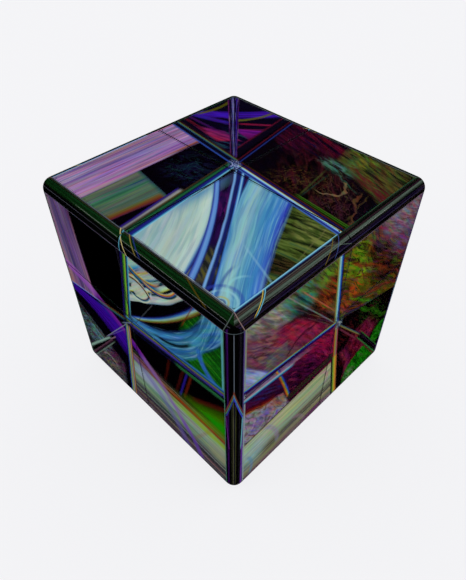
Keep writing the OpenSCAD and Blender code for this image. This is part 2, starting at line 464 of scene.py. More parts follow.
@dataclass(frozen=True)
class Shimmer(Layer):
    """A fine grain over a whole area that shifts red, green and blue each its own way, as thick glass does.

    Attributes:
        turn: Degrees anticlockwise that the grain runs at.
        grain: Its size along and across, in millimetres.
        strength: How far it shifts the colours.
    """

    turn: float
    grain: Point
    strength: float = 0.6

    def draw(self, tree: bpy.types.NodeTree, place: Socket, below: Socket) -> Socket:
        """Adds the grain to a tree, and returns the colour that shows."""
        inputs = {"Vector": place, "Rotation": (0, 0, -math.radians(self.turn))}
        run = add_node(tree, "ShaderNodeMapping", inputs).outputs[0]
        inputs = {"Vector": run, "Scale": (1 / self.grain[0], 1 / self.grain[1], 0)}
        run = add_node(tree, "ShaderNodeMapping", inputs).outputs[0]
        inputs = {"Vector": run, "Scale": 1.0, "Detail": 4.0, "Roughness": 0.6, "Distortion": 0.15}
        grain = add_node(tree, "ShaderNodeTexNoise", inputs, noise_dimensions="2D").outputs["Color"]
        low, high = NOISE_RANGE
        inputs = {6: grain, 7: (low,) * 3, 8: (high,) * 3}
        spread = add_node(tree, "ShaderNodeMapRange", inputs, data_type="FLOAT_VECTOR").outputs[1]
        return cover(tree, below, spread, self.strength, Blend.TINT)


@dataclass(frozen=True)
class Pane(Layer):
    """An area that straight lines bound, with layers of its own.

    Attributes:
        bounds: Pairs of points. The area is to the left of the line from the first to the second.
        layers: What is drawn in it, from the bottom up.
        ground: Its own ground colour. None keeps what is below.
        strength: Its opacity as a whole.
        soft: Half the width of its blurred edge, in millimetres.
    """

    bounds: tuple[tuple[Point, Point], ...]
    layers: tuple[Layer, ...] = ()
    ground: Optional[str] = None
    strength: float = 1.0
    soft: float = 0.12

    def draw(self, tree: bpy.types.NodeTree, place: Socket, below: Socket) -> Socket:
        """Adds the area and its layers to a tree, and returns the colour that shows."""
        inside = None
        for start, end in self.bounds:
            run = (Vector(end) - Vector(start)).normalized()
            left = Vector((-run.y, run.x, 0))
            inputs = {0: place, 1: left}
            depth = add_node(tree, "ShaderNodeVectorMath", inputs, operation="DOT_PRODUCT").outputs["Value"]
            inputs = {0: depth, 1: left.x * start[0] + left.y * start[1]}
            depth = add_node(tree, "ShaderNodeMath", inputs, operation="SUBTRACT").outputs[0]
            if inside is not None:
                depth = add_node(tree, "ShaderNodeMath", {0: inside, 1: depth}, operation="MINIMUM").outputs[0]
            inside = depth
        inputs = {"Value": inside, "From Min": -self.soft, "From Max": self.soft, "To Max": self.strength}
        share = add_node(tree, "ShaderNodeMapRange", inputs).outputs[0]
        ground = below
        if self.ground:
            ground = cover(tree, below, to_linear(self.ground), 1.0)
        return cover(tree, below, paint(tree, place, ground, self.layers), share)


def thin(code: str, half: float, opacity: float = 1.0) -> tuple[Stop, ...]:
    """The profile of a thin line of one colour.

    Args:
        code: Its colour.
        half: Half its width, in millimetres.
        opacity: Its opacity in the middle.

    Returns:
        The stops.
    """
    return ((-half, code, 0.0), (-0.3 * half, code, opacity), (0.3 * half, code, opacity), (half, code, 0.0))


def line(path: tuple[Point, ...], code: str, half: float, opacity: float = 1.0, **fields: Any) -> Ribbon:
    """A thin line of one colour.

    Args:
        path: Its points, in millimetres.
        code: Its colour.
        half: Half its width, in millimetres.
        opacity: Its opacity in the middle.
        **fields: A ribbon's other fields.

    Returns:
        The line, as a ribbon.
    """
    return Ribbon(path, thin(code, half, opacity), **fields)


# Light that a cut edge splits into its colours, seen through dark glass.
DIM_LIGHT = (
    (-1, "#020208", 0),
    (-0.7, "#0c0c38", 0.95),
    (-0.35, "#184468", 1),
    (0, "#3c6848", 1),
    (0.35, "#5a4418", 1),
    (0.7, "#3c0a14", 0.9),
    (1, "#060204", 0),
)

TOP_NEAR = Pane(
    (((-1.7, 2.5), (0.1, -23.4)), ((23.4, 0.7), (-1.7, 2.3))),
    (
        Cloud((3, -6), (14, 16), (7, 1.8), ((0.35, "#0a0618", 0.9), (0.5, "#240c40", 0.8), (0.7, "#34104c", 0.9)),
              turn=-55),
        Cloud((12.6, -19.6), (5, 5), (4, 0.8),
              ((0.36, "#1c201c", 0.95), (0.5, "#34382c", 0.95), (0.64, "#50501c", 0.9)), turn=-30, edge=0.5),
        Cloud((5, -7), (5, 7), (4, 0.8), ((0.42, "#2c0c3c", 0), (0.56, "#481050", 0.8)), turn=-50, edge=0.7),
        Cloud((19.5, -6.5), (11, 12), (7, 1.1),
              ((0.34, "#0a0c08", 1), (0.44, "#20280e", 1), (0.52, "#3c4c1c", 1), (0.6, "#54642c", 1),
               (0.7, "#2c4c2c", 1)), turn=10, edge=0.15, swirl=0.4),
        Cloud((20.5, -2.6), (5, 5), (4, 1), ((0.42, "#3c4c20", 0.3), (0.58, "#70783c", 0.9)), turn=8, edge=0.7),
        Cloud((20.5, -12), (5, 3), (3, 0.6), ((0.42, "#080606", 0.9), (0.6, "#3a2c18", 0.9)), turn=20),
        line(((14, -1.6), (23.4, -0.6)), "#0c140a", 0.5, 0.8, ends=1, wave=(0.3, 3)),
        line(((16.6, -6.6), (23.4, -4.6)), "#0c140a", 0.4, 0.8, ends=1, wave=(0.4, 3)),
        line(((20.6, 0.6), (22.6, -9)), "#6c6840", 0.2, 0.35, ends=1, wave=(0.3, 4)),
        Ribbon(((-0.9, -4), (6.4, -12.4), (12.7, -23.4)),
               ((-24, "#4c84a4", 1), (-14, "#86aab0", 1), (-7, "#94b0b0", 1), (-3, "#9cb8b4", 1),
                (-1.2, "#b4ccc0", 1), (-0.35, "#a4c4c4", 1), (-0.05, "#7098b4", 1), (0.25, "#2c4490", 1),
                (0.6, "#1c1450", 0.95), (1, "#140a30", 0)),
               (Streaks("#b8c8bc", 1.32, 16, 0.39, 0.5), Streaks("#648c9c", 0.84, 12, 0.36, 0.4),
                Streaks("#a8b494", 1.08, 18, 0.24, 0.35))),
        Ribbon(((-0.7, -3), (-0.3, -13)), ((-1.5, "#3c74a0", 0), (0, "#4684ac", 0.9), (2.2, "#6c9cb0", 0)), ends=6),
        Ribbon(((-1.2, -3), (6.4, -11.4), (14.4, -23.4)),
               ((-0.6, "#140c40", 0), (-0.4, "#2c3c98", 1), (-0.1, "#6490cc", 1), (0.25, "#5484c4", 1),
                (0.45, "#1c2470", 0.8), (0.65, "#140c40", 0)), taper=1.3),
        line(((-0.9, 1.4), (7.2, -9), (17.2, -23.4)), "#6c9cd0", 0.36, wave=(0.1, 6)),
        line(((-0.2, 1.4), (7.9, -9.1), (17.8, -23.4)), "#141c5c", 0.5, 0.9),
        Ribbon(((1, 1.2), (9.1, -9.4), (19.2, -23.4)),
               ((-0.5, "#0c0c38", 0), (-0.25, "#3060b0", 1), (0, "#84bcd8", 1), (0.2, "#2c5aa0", 1),
                (0.4, "#101a50", 0.8), (0.7, "#101a50", 0))),
        Ribbon(((7.4, 1.2), (13.4, -9.2), (21.4, -20.8)),
               ((-4.7, "#2c5c98", 0), (-4.3, "#3c80b4", 1), (-3.3, "#7cb0b8", 1), (-2, "#8ab4b8", 1),
                (-0.6, "#5c98b0", 1), (1.2, "#3c80b0", 1), (2.6, "#3c7cb8", 1), (3.5, "#3c68b8", 1),
                (4.1, "#2c34b0", 0.95), (4.6, "#1c1478", 0.8), (5.2, "#100840", 0)),
               (Streaks("#88c8cc", 0.72, 14, 0.36, 0.4), Streaks("#2c5ca8", 0.6, 12, 0.36, 0.42),
                Streaks("#70a8d8", 0.42, 9, 0.24, 0.35)), taper=0.72, wave=(0.12, 9)),
        line(((14.6, -12.2), (23.4, -15.4)), "#8cc0d0", 0.3, 0.3, ends=1.5),
        line(((15.4, -12.4), (19.6, -22.8)), "#90c4d0", 0.3, 0.25, ends=2, wave=(0.2, 3)),
        line(((17, -23), (20.2, -19.8), (23.4, -22.6)), "#2c3ca0", 0.45, 0.5, ends=1),
        line(((18, -23), (20.4, -20.6), (22.8, -23)), "#88c0cc", 0.3, 0.7, ends=1),
        line(((19.2, -23), (20.4, -21.9), (21.6, -23)), "#9ca46c", 0.25, 0.8, ends=0.6),
        line(((19.8, -23), (20.4, -22.4), (21, -23)), "#3c4c8c", 0.25, 0.8, ends=0.5),
        line(((16.6, -17), (17.6, -20), (19.6, -23)), "#1c2c8c", 0.4, 0.6, ends=1),
        line(((19.4, -16.6), (18.6, -19.6), (20.6, -21.4)), "#88c4d0", 0.35, 0.5, ends=1.2),
        Shimmer(-58, (9, 1.1), 0.06),
        # Painted highlights: a pale line along each near border of the top, on the rims where the rounded edges
        # start.
        line(((22.75, 0.4), (22.8, -23)), "#80bcd0", 0.13, 0.9),
        Ribbon(((-1, -22.7), (23.2, -22.8)), thin("#8c949c", 0.18, 0.9), (Streaks("#2c3c50", 0.3, 3, 0.8, 0.5),)),
    ),
    ground="#120a30",
)

TOP_LEFT = Pane(
    (((-1.3, -23.4), (-3.5, 2.9)), ((-3.6, 3.4), (-23.4, 5.3))),
    (
        Cloud((-7.5, -3.5), (7, 7), (4, 2.2), ((0.42, "#040208", 0), (0.55, "#0c0620", 0.8), (0.68, "#101c30", 0.7)),
              turn=30, swirl=1),
        Cloud((-8.5, -4), (4.5, 5.5), (2.2, 1.4), ((0.5, "#000000", 0), (0.62, "#143038", 0.6)), turn=50, swirl=2),
        Pane(
            (((-3.7, -12), (-14.4, -10.3)), ((-5.3, -23.4), (-3.7, -11.9))),
            (
                Ribbon(((-9.4, -10), (-10.4, -23.4)),
                       ((-6, "#56604e", 1), (-2.6, "#585c50", 1), (-1.6, "#2c5c4c", 1), (-1.2, "#1c3c54", 1),
                        (-0.8, "#44685c", 1), (-0.2, "#2c6844", 1), (0.6, "#4c6450", 1), (2.6, "#48584c", 1),
                        (4.6, "#4c5a50", 1)),
                       (Streaks("#2c5840", 0.8, 20, 0.6, 0.4), Streaks("#6a7464", 0.6, 26, 0.5, 0.45))),
                Ribbon(((-3.9, -12), (-5.2, -23.4)),
                       ((-1.9, "#5c5424", 0), (-1.3, "#5c5020", 0.9), (-0.6, "#6a3018", 1), (0, "#401030", 1),
                        (0.4, "#1c0a40", 1))),
                Ribbon(((-14.2, -10.4), (-3.8, -12.1)),
                       ((-0.9, "#2c5848", 0), (-0.3, "#2c5048", 0.9), (0.4, "#141c40", 1))),
            ),
            ground="#4a584e",
        ),
        Ribbon(((-18.5, 5.6), (-19.1, -23.4)),
               ((-5.4, "#4c2c20", 1), (-4.7, "#94685c", 1), (-4, "#94707c", 1), (-3, "#846688", 1),
                (-1.8, "#7a648e", 1), (-0.4, "#80688e", 1), (1.2, "#9476a8", 1), (3, "#8c68a0", 1),
                (4.1, "#8c649c", 1), (4.5, "#8c4c44", 1), (4.75, "#702c10", 1), (5, "#180604", 0.8),
                (5.3, "#0a0408", 0)),
               (Streaks("#5c3e84", 0.8, 26, 0.75, 0.42), Streaks("#b090c0", 0.7, 30, 0.6, 0.42),
                Streaks("#a07880", 1.4, 18, 0.4, 0.35))),
        Shimmer(88, (12, 0.68), 0.21),
        Ribbon(((-3.4, -9.2), (-1.6, -23.4)),
               ((-1.4, "#1c1048", 0), (-1.15, "#241470", 1), (-0.85, "#3c3460", 1), (-0.6, "#7c7c80", 1),
                (-0.25, "#8c8c88", 1), (0.05, "#8c8850", 1), (0.3, "#74702c", 1), (0.5, "#14140c", 1),
                (0.8, "#6a5c3c", 1), (1.05, "#54501c", 1), (1.4, "#0c100c", 0)), ends=0.6, wave=(0.05, 8)),
    ),
    ground="#040207",
)

TOP_BACK_LEFT = Pane(
    (((-23.4, 5.9), (-4.2, 4.1)), ((-4.3, 4.3), (-6.9, 23.4))),
    (
        Cloud((-8, 9), (9, 6), (5, 1.2), ((0.45, "#0c0820", 0), (0.55, "#101838", 0.9), (0.68, "#183c48", 0.8)),
              turn=12, swirl=0.6),
        Ribbon(((-23.4, 11.4), (-16.4, 17), (-10.4, 23.6)), thin("#3c14a4", 1.6), (Streaks("#1c0c60", 0.5, 9, 0.8),),
               taper=1.2),
        Ribbon(((-23.4, 10.6), (-14.5, 13.6)), thin("#281c8c", 0.9, 0.9), (Streaks("#401070", 0.4, 8, 0.8),), ends=2),
        line(((-20.5, 14.5), (-15.5, 15.5)), "#3a16a0", 0.9, 0.9, ends=2),
        line(((-15, 15), (-12.4, 18.9), (-11.4, 23.6)), "#54501c", 0.6, 0.9, ends=1),
        line(((-22.6, 11.6), (-21.4, 16), (-21.8, 20.4)), "#4c480c", 0.6, 0.9, ends=1),
        line(((-13, 14.9), (-7.2, 19.6)), "#7a1434", 0.5, 0.9, ends=1),
        line(((-12, 12.6), (-7.2, 17)), "#5c1440", 0.4, 0.8, ends=1),
        Pane(
            (((-12.6, 12.4), (-6.8, 11.4)), ((-7, 12.6), (-7.2, 16.2)), ((-7, 16.4), (-13, 12))),
            (
                Ribbon(((-12, 12.4), (-6.6, 16)), ((-3, "#5c0c38", 1), (0, "#6a1480", 1), (3, "#7a1c78", 1)),
                       (Streaks("#34084c", 0.8, 8, 0.6),)),
            ),
            ground="#6a1478",
            soft=0.3,
        ),
        Pane(
            (((-18.5, 7.8), (-11.5, 6.8)), ((-10.6, 7.6), (-8.8, 9.4)), ((-8.8, 10), (-13.4, 10.4)),
             ((-12.4, 10.8), (-18.5, 8))),
            (
                Ribbon(((-18, 7.8), (-9, 9.8)), ((-2, "#8c1c38", 1), (0, "#7a2058", 1), (2, "#4c1060", 1)),
                       (Streaks("#3c0c3c", 0.6, 8, 0.6),)),
            ),
            ground="#7a2050",
            soft=0.35,
        ),
        Ribbon(((-23.4, 8.6), (-15.5, 7.8)), thin("#581020", 0.5, 0.9), (Streaks("#200818", 0.3, 5, 0.8),), ends=1),
        line(((-23.4, 9.6), (-15, 9.6)), "#38104c", 0.5, 0.8, ends=1),
        Ribbon(((-6.4, 23.4), (-4.2, 4.4)),
               ((-2.6, "#0a0616", 0), (-2.2, "#4c0c20", 0.9), (-1.8, "#0a0616", 1), (-0.2, "#08040f", 1),
                (0.2, "#201450", 1), (0.6, "#3464a4", 1), (0.9, "#5c5c9c", 1), (1.2, "#4c1420", 1),
                (1.5, "#10040c", 0.9), (2, "#060208", 0))),
        Ribbon(((-23, 22.9), (-4, 4)),
               ((-1.5, "#2c0c50", 0), (-1.25, "#5c1450", 0.95), (-1.05, "#140824", 1), (-0.6, "#0c0820", 1),
                (-0.35, "#24246c", 1), (-0.12, "#6c70a0", 1), (0.05, "#181044", 1), (0.5, "#0a081c", 1),
                (0.75, "#30108c", 1), (0.95, "#0c0820", 1), (1.15, "#4c1c60", 0.9), (1.4, "#200c30", 0)),
               (Streaks("#140c30", 0.3, 6, 0.7, 0.42), Streaks("#8c80b4", 0.2, 7, 0.4, 0.3)), taper=0.45),
        Shimmer(40, (5, 0.68), 0.17),
    ),
    ground="#080416",
)

TOP_BACK_RIGHT = Pane(
    (((-3.5, 3.2), (23.4, 1.9)), ((-5.8, 23.4), (-3.2, 3.4))),
    (
        Cloud((2.5, 19), (12, 7), (12, 1.3),
              ((0.38, "#0a0414", 1), (0.5, "#28061a", 1), (0.58, "#440a22", 0.95), (0.68, "#180a34", 1)), turn=-12,
              edge=0.5),
        Ribbon(((-4.6, 23.2), (9, 18.4)), thin("#540a24", 0.6, 0.8), (Streaks("#200614", 0.3, 6, 0.8),), ends=2),
        Ribbon(((-4.2, 17.2), (6.4, 14.6)), thin("#440820", 0.45, 0.8), (Streaks("#180614", 0.3, 5, 0.8),), ends=2),
        Ribbon(((1, 22.6), (9.4, 20.6)), thin("#5c0c20", 0.8, 0.7), (Streaks("#200614", 0.3, 5, 0.8),), ends=2),
        Pane(
            (((9.6, 17.4), (23.4, 11.4)), ((8.6, 23.4), (9.6, 17))),
            (
                Cloud((18, 17), (13, 10), (10, 1.2),
                      ((0.36, "#16180e", 1), (0.46, "#3a3a1a", 1), (0.54, "#4a4a20", 1), (0.62, "#3c2414", 1),
                       (0.7, "#243a18", 1)), turn=-14, edge=0.01),
                Cloud((18, 14), (9, 4.5), (7, 0.7), ((0.44, "#48141c", 0), (0.58, "#4c181c", 0.9)), turn=-16),
                Cloud((12, 21), (5, 4), (5, 1), ((0.44, "#2c4c1c", 0), (0.58, "#5c6a24", 0.9)), turn=-14),
            ),
            ground="#383a1c",
            soft=0.6,
        ),
        Cloud((11, 8.5), (16, 8), (4.6, 1.5),
              ((0.36, "#050204", 0.9), (0.5, "#18060c", 0.9), (0.6, "#2c0e10", 0.9), (0.68, "#34141c", 0.9)),
              turn=-50, swirl=0.7),
        Cloud((7.2, 7), (7, 5.4), (2.4, 1.3), ((0.52, "#3c2c10", 0), (0.57, "#604c20", 0.45), (0.64, "#2c1c08", 0)),
              turn=58, swirl=1.7, edge=0.7),
        Cloud((15, 9), (9, 6), (2.2, 1.2), ((0.48, "#3c2818", 0), (0.54, "#5c422a", 0.42), (0.61, "#3c1c18", 0)),
              turn=-40, swirl=1.2, edge=0.7),
        Cloud((18.6, 6.4), (5.4, 5.4), (2.2, 1.2),
              ((0.5, "#44182c", 0), (0.56, "#54303c", 0.42), (0.64, "#3c1420", 0)), turn=-28, swirl=1.2, edge=0.7),
        Cloud((11, 15.6), (5.4, 2.4), (3.4, 0.8),
              ((0.38, "#14241c", 0.2), (0.5, "#24483c", 0.9), (0.6, "#48786a", 0.9)), turn=-6, edge=0.8, swirl=0.6),
        Cloud((12.6, 18), (1.8, 4), (2.6, 0.6), ((0.46, "#1c2c1c", 0), (0.58, "#485c34", 0.8)), turn=20, edge=0.8),
        Ribbon(((12.4, 14), (17.6, 11.4)), thin("#345c4c", 0.35, 0.5), (Streaks("#100c0c", 0.3, 1.5, 0.9),), ends=1.6,
               wave=(0.4, 3)),
        line(((10.2, 13), (11.6, 4.4)), "#343c1c", 0.3, 0.7, ends=1.5),
        line(((11.4, 12), (12, 4.4)), "#18342c", 0.25, 0.6, ends=1.5),
        line(((14.4, 12.6), (16.4, 9), (13.2, 7.2)), "#7c6448", 0.3, 0.6, ends=0.8, wave=(0.4, 2)),
        line(((18.8, 11.6), (22.8, 3)), "#5c3c24", 0.3, 0.6, ends=1, wave=(0.4, 2)),
        line(((20.4, 12), (21.6, 4)), "#40301c", 0.25, 0.6, ends=1, wave=(0.4, 2)),
        Shimmer(-35, (3.5, 0.85), 0.29),
        Ribbon(((11.4, 3.75), (23.4, 2.75)),
               ((-0.9, "#0c1c04", 0), (-0.7, "#346410", 0.95), (-0.45, "#0c1c04", 0.9), (-0.2, "#347010", 0.95),
                (0, "#0c1804", 0.9), (0.22, "#3c6418", 0.95), (0.45, "#0c0c04", 0)), ends=0.8),
    ),
    ground="#08030a",
)

TOP_SEAMS = (
    Ribbon(((-3.4, 3.6), (23.4, 1)),
           ((-1.2, "#2c4c9c", 0), (-0.95, "#3c68b8", 0.9), (-0.7, "#100c48", 1), (-0.4, "#3c54c0", 1),
            (-0.2, "#90ccd8", 1), (0, "#98b094", 1), (0.15, "#6c381c", 1), (0.32, "#180a28", 1), (0.55, "#1c1458", 1),
            (0.75, "#0c0a20", 1), (0.95, "#4c1014", 0.9), (1.15, "#0c1c08", 0.9), (1.35, "#0c0404", 0.6),
            (1.6, "#050204", 0)), ends=0.5),
    Ribbon(((-6.1, 23.4), (-3.1, 4)),
           ((-0.9, "#04020a", 0), (-0.65, "#060410", 0.9), (-0.4, "#4c0c18", 0.9), (-0.15, "#06040e", 1),
            (0.1, "#100c38", 1), (0.3, "#1c3070", 1), (0.5, "#0c0a2c", 0.9), (0.8, "#04020a", 0)), ends=0.5),
    Ribbon(((-3.4, 3.4), (-0.5, -23.4)),
           ((-1.4, "#0a0a0a", 0), (-1.1, "#3c2c1c", 0.9), (-0.8, "#0c2c1c", 1), (-0.45, "#1c5c34", 1),
            (-0.1, "#0c1430", 1), (0.25, "#1c1c78", 1), (0.5, "#182c70", 1), (0.7, "#3c84b0", 1),
            (0.85, "#74bcd0", 0.9), (1.05, "#7cb0c8", 0)), ends=0.5, taper=1.25),
    Ribbon(((-23.4, 5.9), (-3.8, 3.8)),
           ((-1.1, "#1c1c60", 0), (-0.8, "#2c4ca0", 0.9), (-0.45, "#0a0a20", 1), (0.1, "#060412", 1),
            (0.4, "#142c58", 1), (0.6, "#3c6c50", 1), (0.8, "#4c4418", 1), (1, "#280c14", 0.8), (1.8, "#08040c", 0)),
           ends=0.5),
    Cloud((-2.9, 3.1), (2.2, 1.5), (1.2, 0.6),
          ((0.35, "#06040c", 0.9), (0.5, "#2c3474", 0.9), (0.66, "#a8b8dc", 0.95)), turn=-30, swirl=1.5, edge=0.8),
)

FRONT_NEAR = Pane(
    (((0.6, 23.4), (-1.4, 4.9)), ((-1.4, 4.7), (23.4, 7.8))),
    (
        Cloud((20.5, 14), (8, 10.5), (9, 0.8),
              ((0.36, "#0a3c0a", 1), (0.48, "#0c4c0c", 1), (0.58, "#125c10", 1), (0.7, "#2c6414", 1)), turn=-22,
              edge=0.25, swirl=0.2),
        Ribbon(((0.2, 12), (7, 16.2), (15.2, 23.4)),
               ((-0.3, "#0c1420", 0), (-0.1, "#7c9494", 1), (0.4, "#b0bcb0", 1), (1.1, "#a8b4a4", 1),
                (1.3, "#54787c", 1), (1.5, "#0c1418", 1), (1.8, "#06080c", 1), (2, "#b0a454", 1), (2.3, "#a8bcae", 1),
                (2.7, "#98aca0", 1), (2.9, "#0c2c3c", 1), (3.6, "#06141c", 1), (4, "#1c5c80", 1), (4.3, "#8ca89c", 1),
                (4.8, "#98a898", 1), (5.2, "#a49c50", 1), (5.5, "#9c4410", 0.9), (5.8, "#0c1c48", 1),
                (6.4, "#2c84a8", 1), (7, "#84a8a0", 1), (8.4, "#98ac9c", 1), (9.4, "#3c88a4", 1), (9.9, "#0c3c68", 1),
                (10.4, "#6c9c9c", 1), (13, "#88a498", 1), (16, "#6c9090", 1)),
               (Streaks("#5490a4", 0.6, 9, 0.4, 0.35), Streaks("#b4bcb0", 0.5, 8, 0.4, 0.35)), wave=(0.2, 9)),
        Cloud((3.2, 16.6), (2.6, 1.7), (3, 1.6), ((0.4, "#a8b4a2", 1), (0.6, "#a0aca0", 1)), turn=30, edge=0.2),
        Ribbon(((0.2, 14.6), (4.4, 14.9), (6.2, 17.6)),
               ((-0.5, "#b0bcb0", 0), (-0.25, "#b8c4b8", 1), (0, "#347090", 1), (0.2, "#0c1820", 1),
                (0.5, "#0c1820", 0)), ends=0.5),
        Ribbon(((0.2, 18), (3.6, 18.4), (6, 17)),
               ((-0.5, "#08141c", 0), (-0.2, "#0c1c28", 1), (0.05, "#8c6428", 1), (0.25, "#a8b0a4", 1),
                (0.5, "#a8b4a2", 0)), ends=0.5),
        Ribbon(((0.4, 21.2), (4.6, 19.8), (8.4, 20.8)),
               ((-1, "#0c2c3c", 0), (-0.7, "#0c2434", 1), (-0.3, "#1c5c84", 1), (0, "#2c4c64", 1),
                (0.25, "#9c5c1c", 1), (0.45, "#a4a448", 0.9), (0.8, "#a8b4a2", 0)), ends=1.6),
        Ribbon(((5, 19.4), (9.6, 19.9), (13.2, 23.2)),
               ((-0.6, "#06080c", 0), (-0.35, "#06101c", 1), (-0.1, "#1c4c7c", 1), (0.1, "#a8501c", 1),
                (0.3, "#b0a448", 1), (0.55, "#a8b4a2", 0)), ends=0.8),
        Ribbon(((-0.4, 7.1), (7.4, 12.6), (18, 23.4)),
               ((-0.6, "#180808", 0), (-0.45, "#4c2410", 0.9), (-0.2, "#6c7830", 1), (0, "#80a498", 1),
                (0.22, "#2c60a8", 1), (0.45, "#100c48", 0.8), (0.7, "#040208", 0)), taper=1.5),
        Ribbon(((-0.5, 5.6), (11, 10.2), (22, 23.6)),
               ((-1.7, "#0c1c40", 0), (-1.3, "#1c4c88", 1), (-0.5, "#3078a8", 1), (0.4, "#3c84b4", 1),
                (1.1, "#2c689c", 1), (1.5, "#102850", 0.9), (1.9, "#04040c", 0)),
               (Streaks("#6ca8c4", 0.5, 12, 0.5, 0.38), Streaks("#143c6c", 0.5, 10, 0.45, 0.4)), taper=1.5),
        Ribbon(((5, 5.9), (13.6, 11), (20.8, 23.6)),
               ((-1.6, "#0c1c40", 0), (-1.2, "#1c4c88", 1), (-0.3, "#2c7096", 1), (0.6, "#3c84a4", 1),
                (1.2, "#1c4c74", 0.9), (1.6, "#04040c", 0)),
               (Streaks("#6cacc0", 0.5, 11, 0.5, 0.4), Streaks("#0c2c50", 0.5, 9, 0.5, 0.4)), taper=1.25),
        line(((7, 7.8), (11.4, 9.6), (15.6, 13.6)), "#040810", 0.55, 0.95, ends=1.6),
        Ribbon(((9.6, 5.9), (15.4, 10.4), (19.2, 19)), thin("#2c688c", 0.9, 0.9),
               (Streaks("#80b4c0", 0.4, 8, 0.5, 0.4),), ends=1.2),
        Ribbon(((17.4, 14), (18.6, 9.8), (22.4, 7.6)), thin("#2c64a8", 0.9), (Streaks("#1c4090", 0.3, 5, 0.7),),
               ends=1),
        Ribbon(((-0.8, 5.3), (23.4, 8.2)), ((-0.3, "#1c60a0", 0.9), (0.2, "#3c84b0", 0.8), (0.9, "#1c4470", 0)),
               strength=0.6),
        line(((-0.6, 5), (6.4, 15.4)), "#3c3c44", 0.16, 0.7, ends=1),
        line(((13.8, 16.6), (16.8, 23)), "#5c2c10", 0.2, 0.7, ends=1),
        Shimmer(42, (6, 0.68), 0.17),
        # Painted highlight: a pale line along the border with the near upright edge.
        line(((22.6, 7.8), (22.6, 23.2)), "#58a0a8", 0.28, 0.9),
    ),
    ground="#020204",
)

FRONT_UPPER_LEFT = Pane(
    (((-3.2, 3.9), (0.2, 23.4)), ((-23.4, 0.5), (-3.2, 4))),
    (
        Ribbon(((-20.1, 23.4), (-18.2, 2)),
               ((-6.5, "#98706c", 1), (-3.6, "#906a72", 1), (-2.6, "#7c6480", 1), (-1.6, "#54426e", 1),
                (-0.4, "#4c3a64", 1), (0.8, "#604c7a", 1), (2, "#684e78", 1), (3.2, "#5c4474", 1),
                (3.7, "#3c2468", 1), (4.1, "#6a3c54", 1), (4.4, "#3c1410", 1), (4.8, "#080204", 0)),
               (Streaks("#3c2860", 0.6, 26, 0.7, 0.42), Streaks("#8c74a0", 0.6, 30, 0.5, 0.4),
                Streaks("#a87870", 1.2, 20, 0.35, 0.3))),
        Shimmer(-85, (12, 0.68), 0.21),
    ),
    ground="#000000",
)

FRONT_LOWER_LEFT = Pane(
    (((-3.3, 3), (-23.4, 0.2)), ((-7.3, -23.4), (-3.4, 3.1))),
    (
        Pane(
            (((-9.6, -23.4), (-8.2, -14.4)), ((-8.2, -14.2), (-16.4, -8.4)), ((-15.6, -8.8), (-23.4, -4.6))),
            (
                Cloud((-17, -15), (14, 12), (3.4, 0.9),
                      ((0.36, "#101016", 1), (0.44, "#2c2c34", 1), (0.52, "#444448", 1), (0.58, "#3a2440", 1),
                       (0.66, "#54605c", 1)), turn=25, edge=0.01, swirl=0.9),
                Cloud((-20, -11.5), (5.5, 7), (3.4, 0.7),
                      ((0.46, "#1c3c38", 0), (0.56, "#50807c", 0.9), (0.66, "#0c1c24", 0.8)), turn=30, swirl=0.9),
                Cloud((-16, -11.5), (5, 3.5), (2.6, 0.6), ((0.48, "#2c5c5c", 0), (0.58, "#64949c", 0.8)), turn=-25,
                      swirl=1.2),
                Cloud((-11, -15), (4.5, 5), (3.2, 0.7), ((0.46, "#340c28", 0.3), (0.56, "#541c48", 0.9)), turn=50,
                      swirl=0.8),
                Cloud((-14.5, -19), (5, 4.2), (3.2, 0.7),
                      ((0.44, "#3c3c38", 0.2), (0.54, "#74705c", 0.85), (0.64, "#34203c", 0.8)), turn=10, swirl=1.4),
                line(((-16.6, -20.6), (-14.2, -16.6), (-11.8, -19.4)), "#84807c", 0.4, 0.6, ends=0.8),
                line(((-15.6, -20.8), (-14.2, -18.2), (-12.8, -20.2)), "#5c3c5c", 0.4, 0.7, ends=0.8),
                Ribbon(((-23.4, -5.4), (-8, -14.6)),
                       ((-0.9, "#240c10", 0), (-0.2, "#301014", 0.8), (0.6, "#301418", 0))),
                Shimmer(25, (2.5, 0.77), 0.34),
            ),
            ground="#34363c",
            soft=0.5,
        ),
        Ribbon(((-23.6, -0.3), (-14, -0.4), (-4.4, -4.2)),
               ((-1.5, "#04020c", 0), (-1.2, "#1c0458", 1), (-0.5, "#300484", 1), (0.2, "#380a90", 1),
                (0.7, "#2c0c88", 1), (1.1, "#1c2c94", 0.95), (1.4, "#1c2070", 0)),
               (Streaks("#180450", 0.18, 14, 0.7, 0.4), Streaks("#4418a0", 0.16, 16, 0.5, 0.35)), taper=3.6),
    ),
    ground="#030108",
)

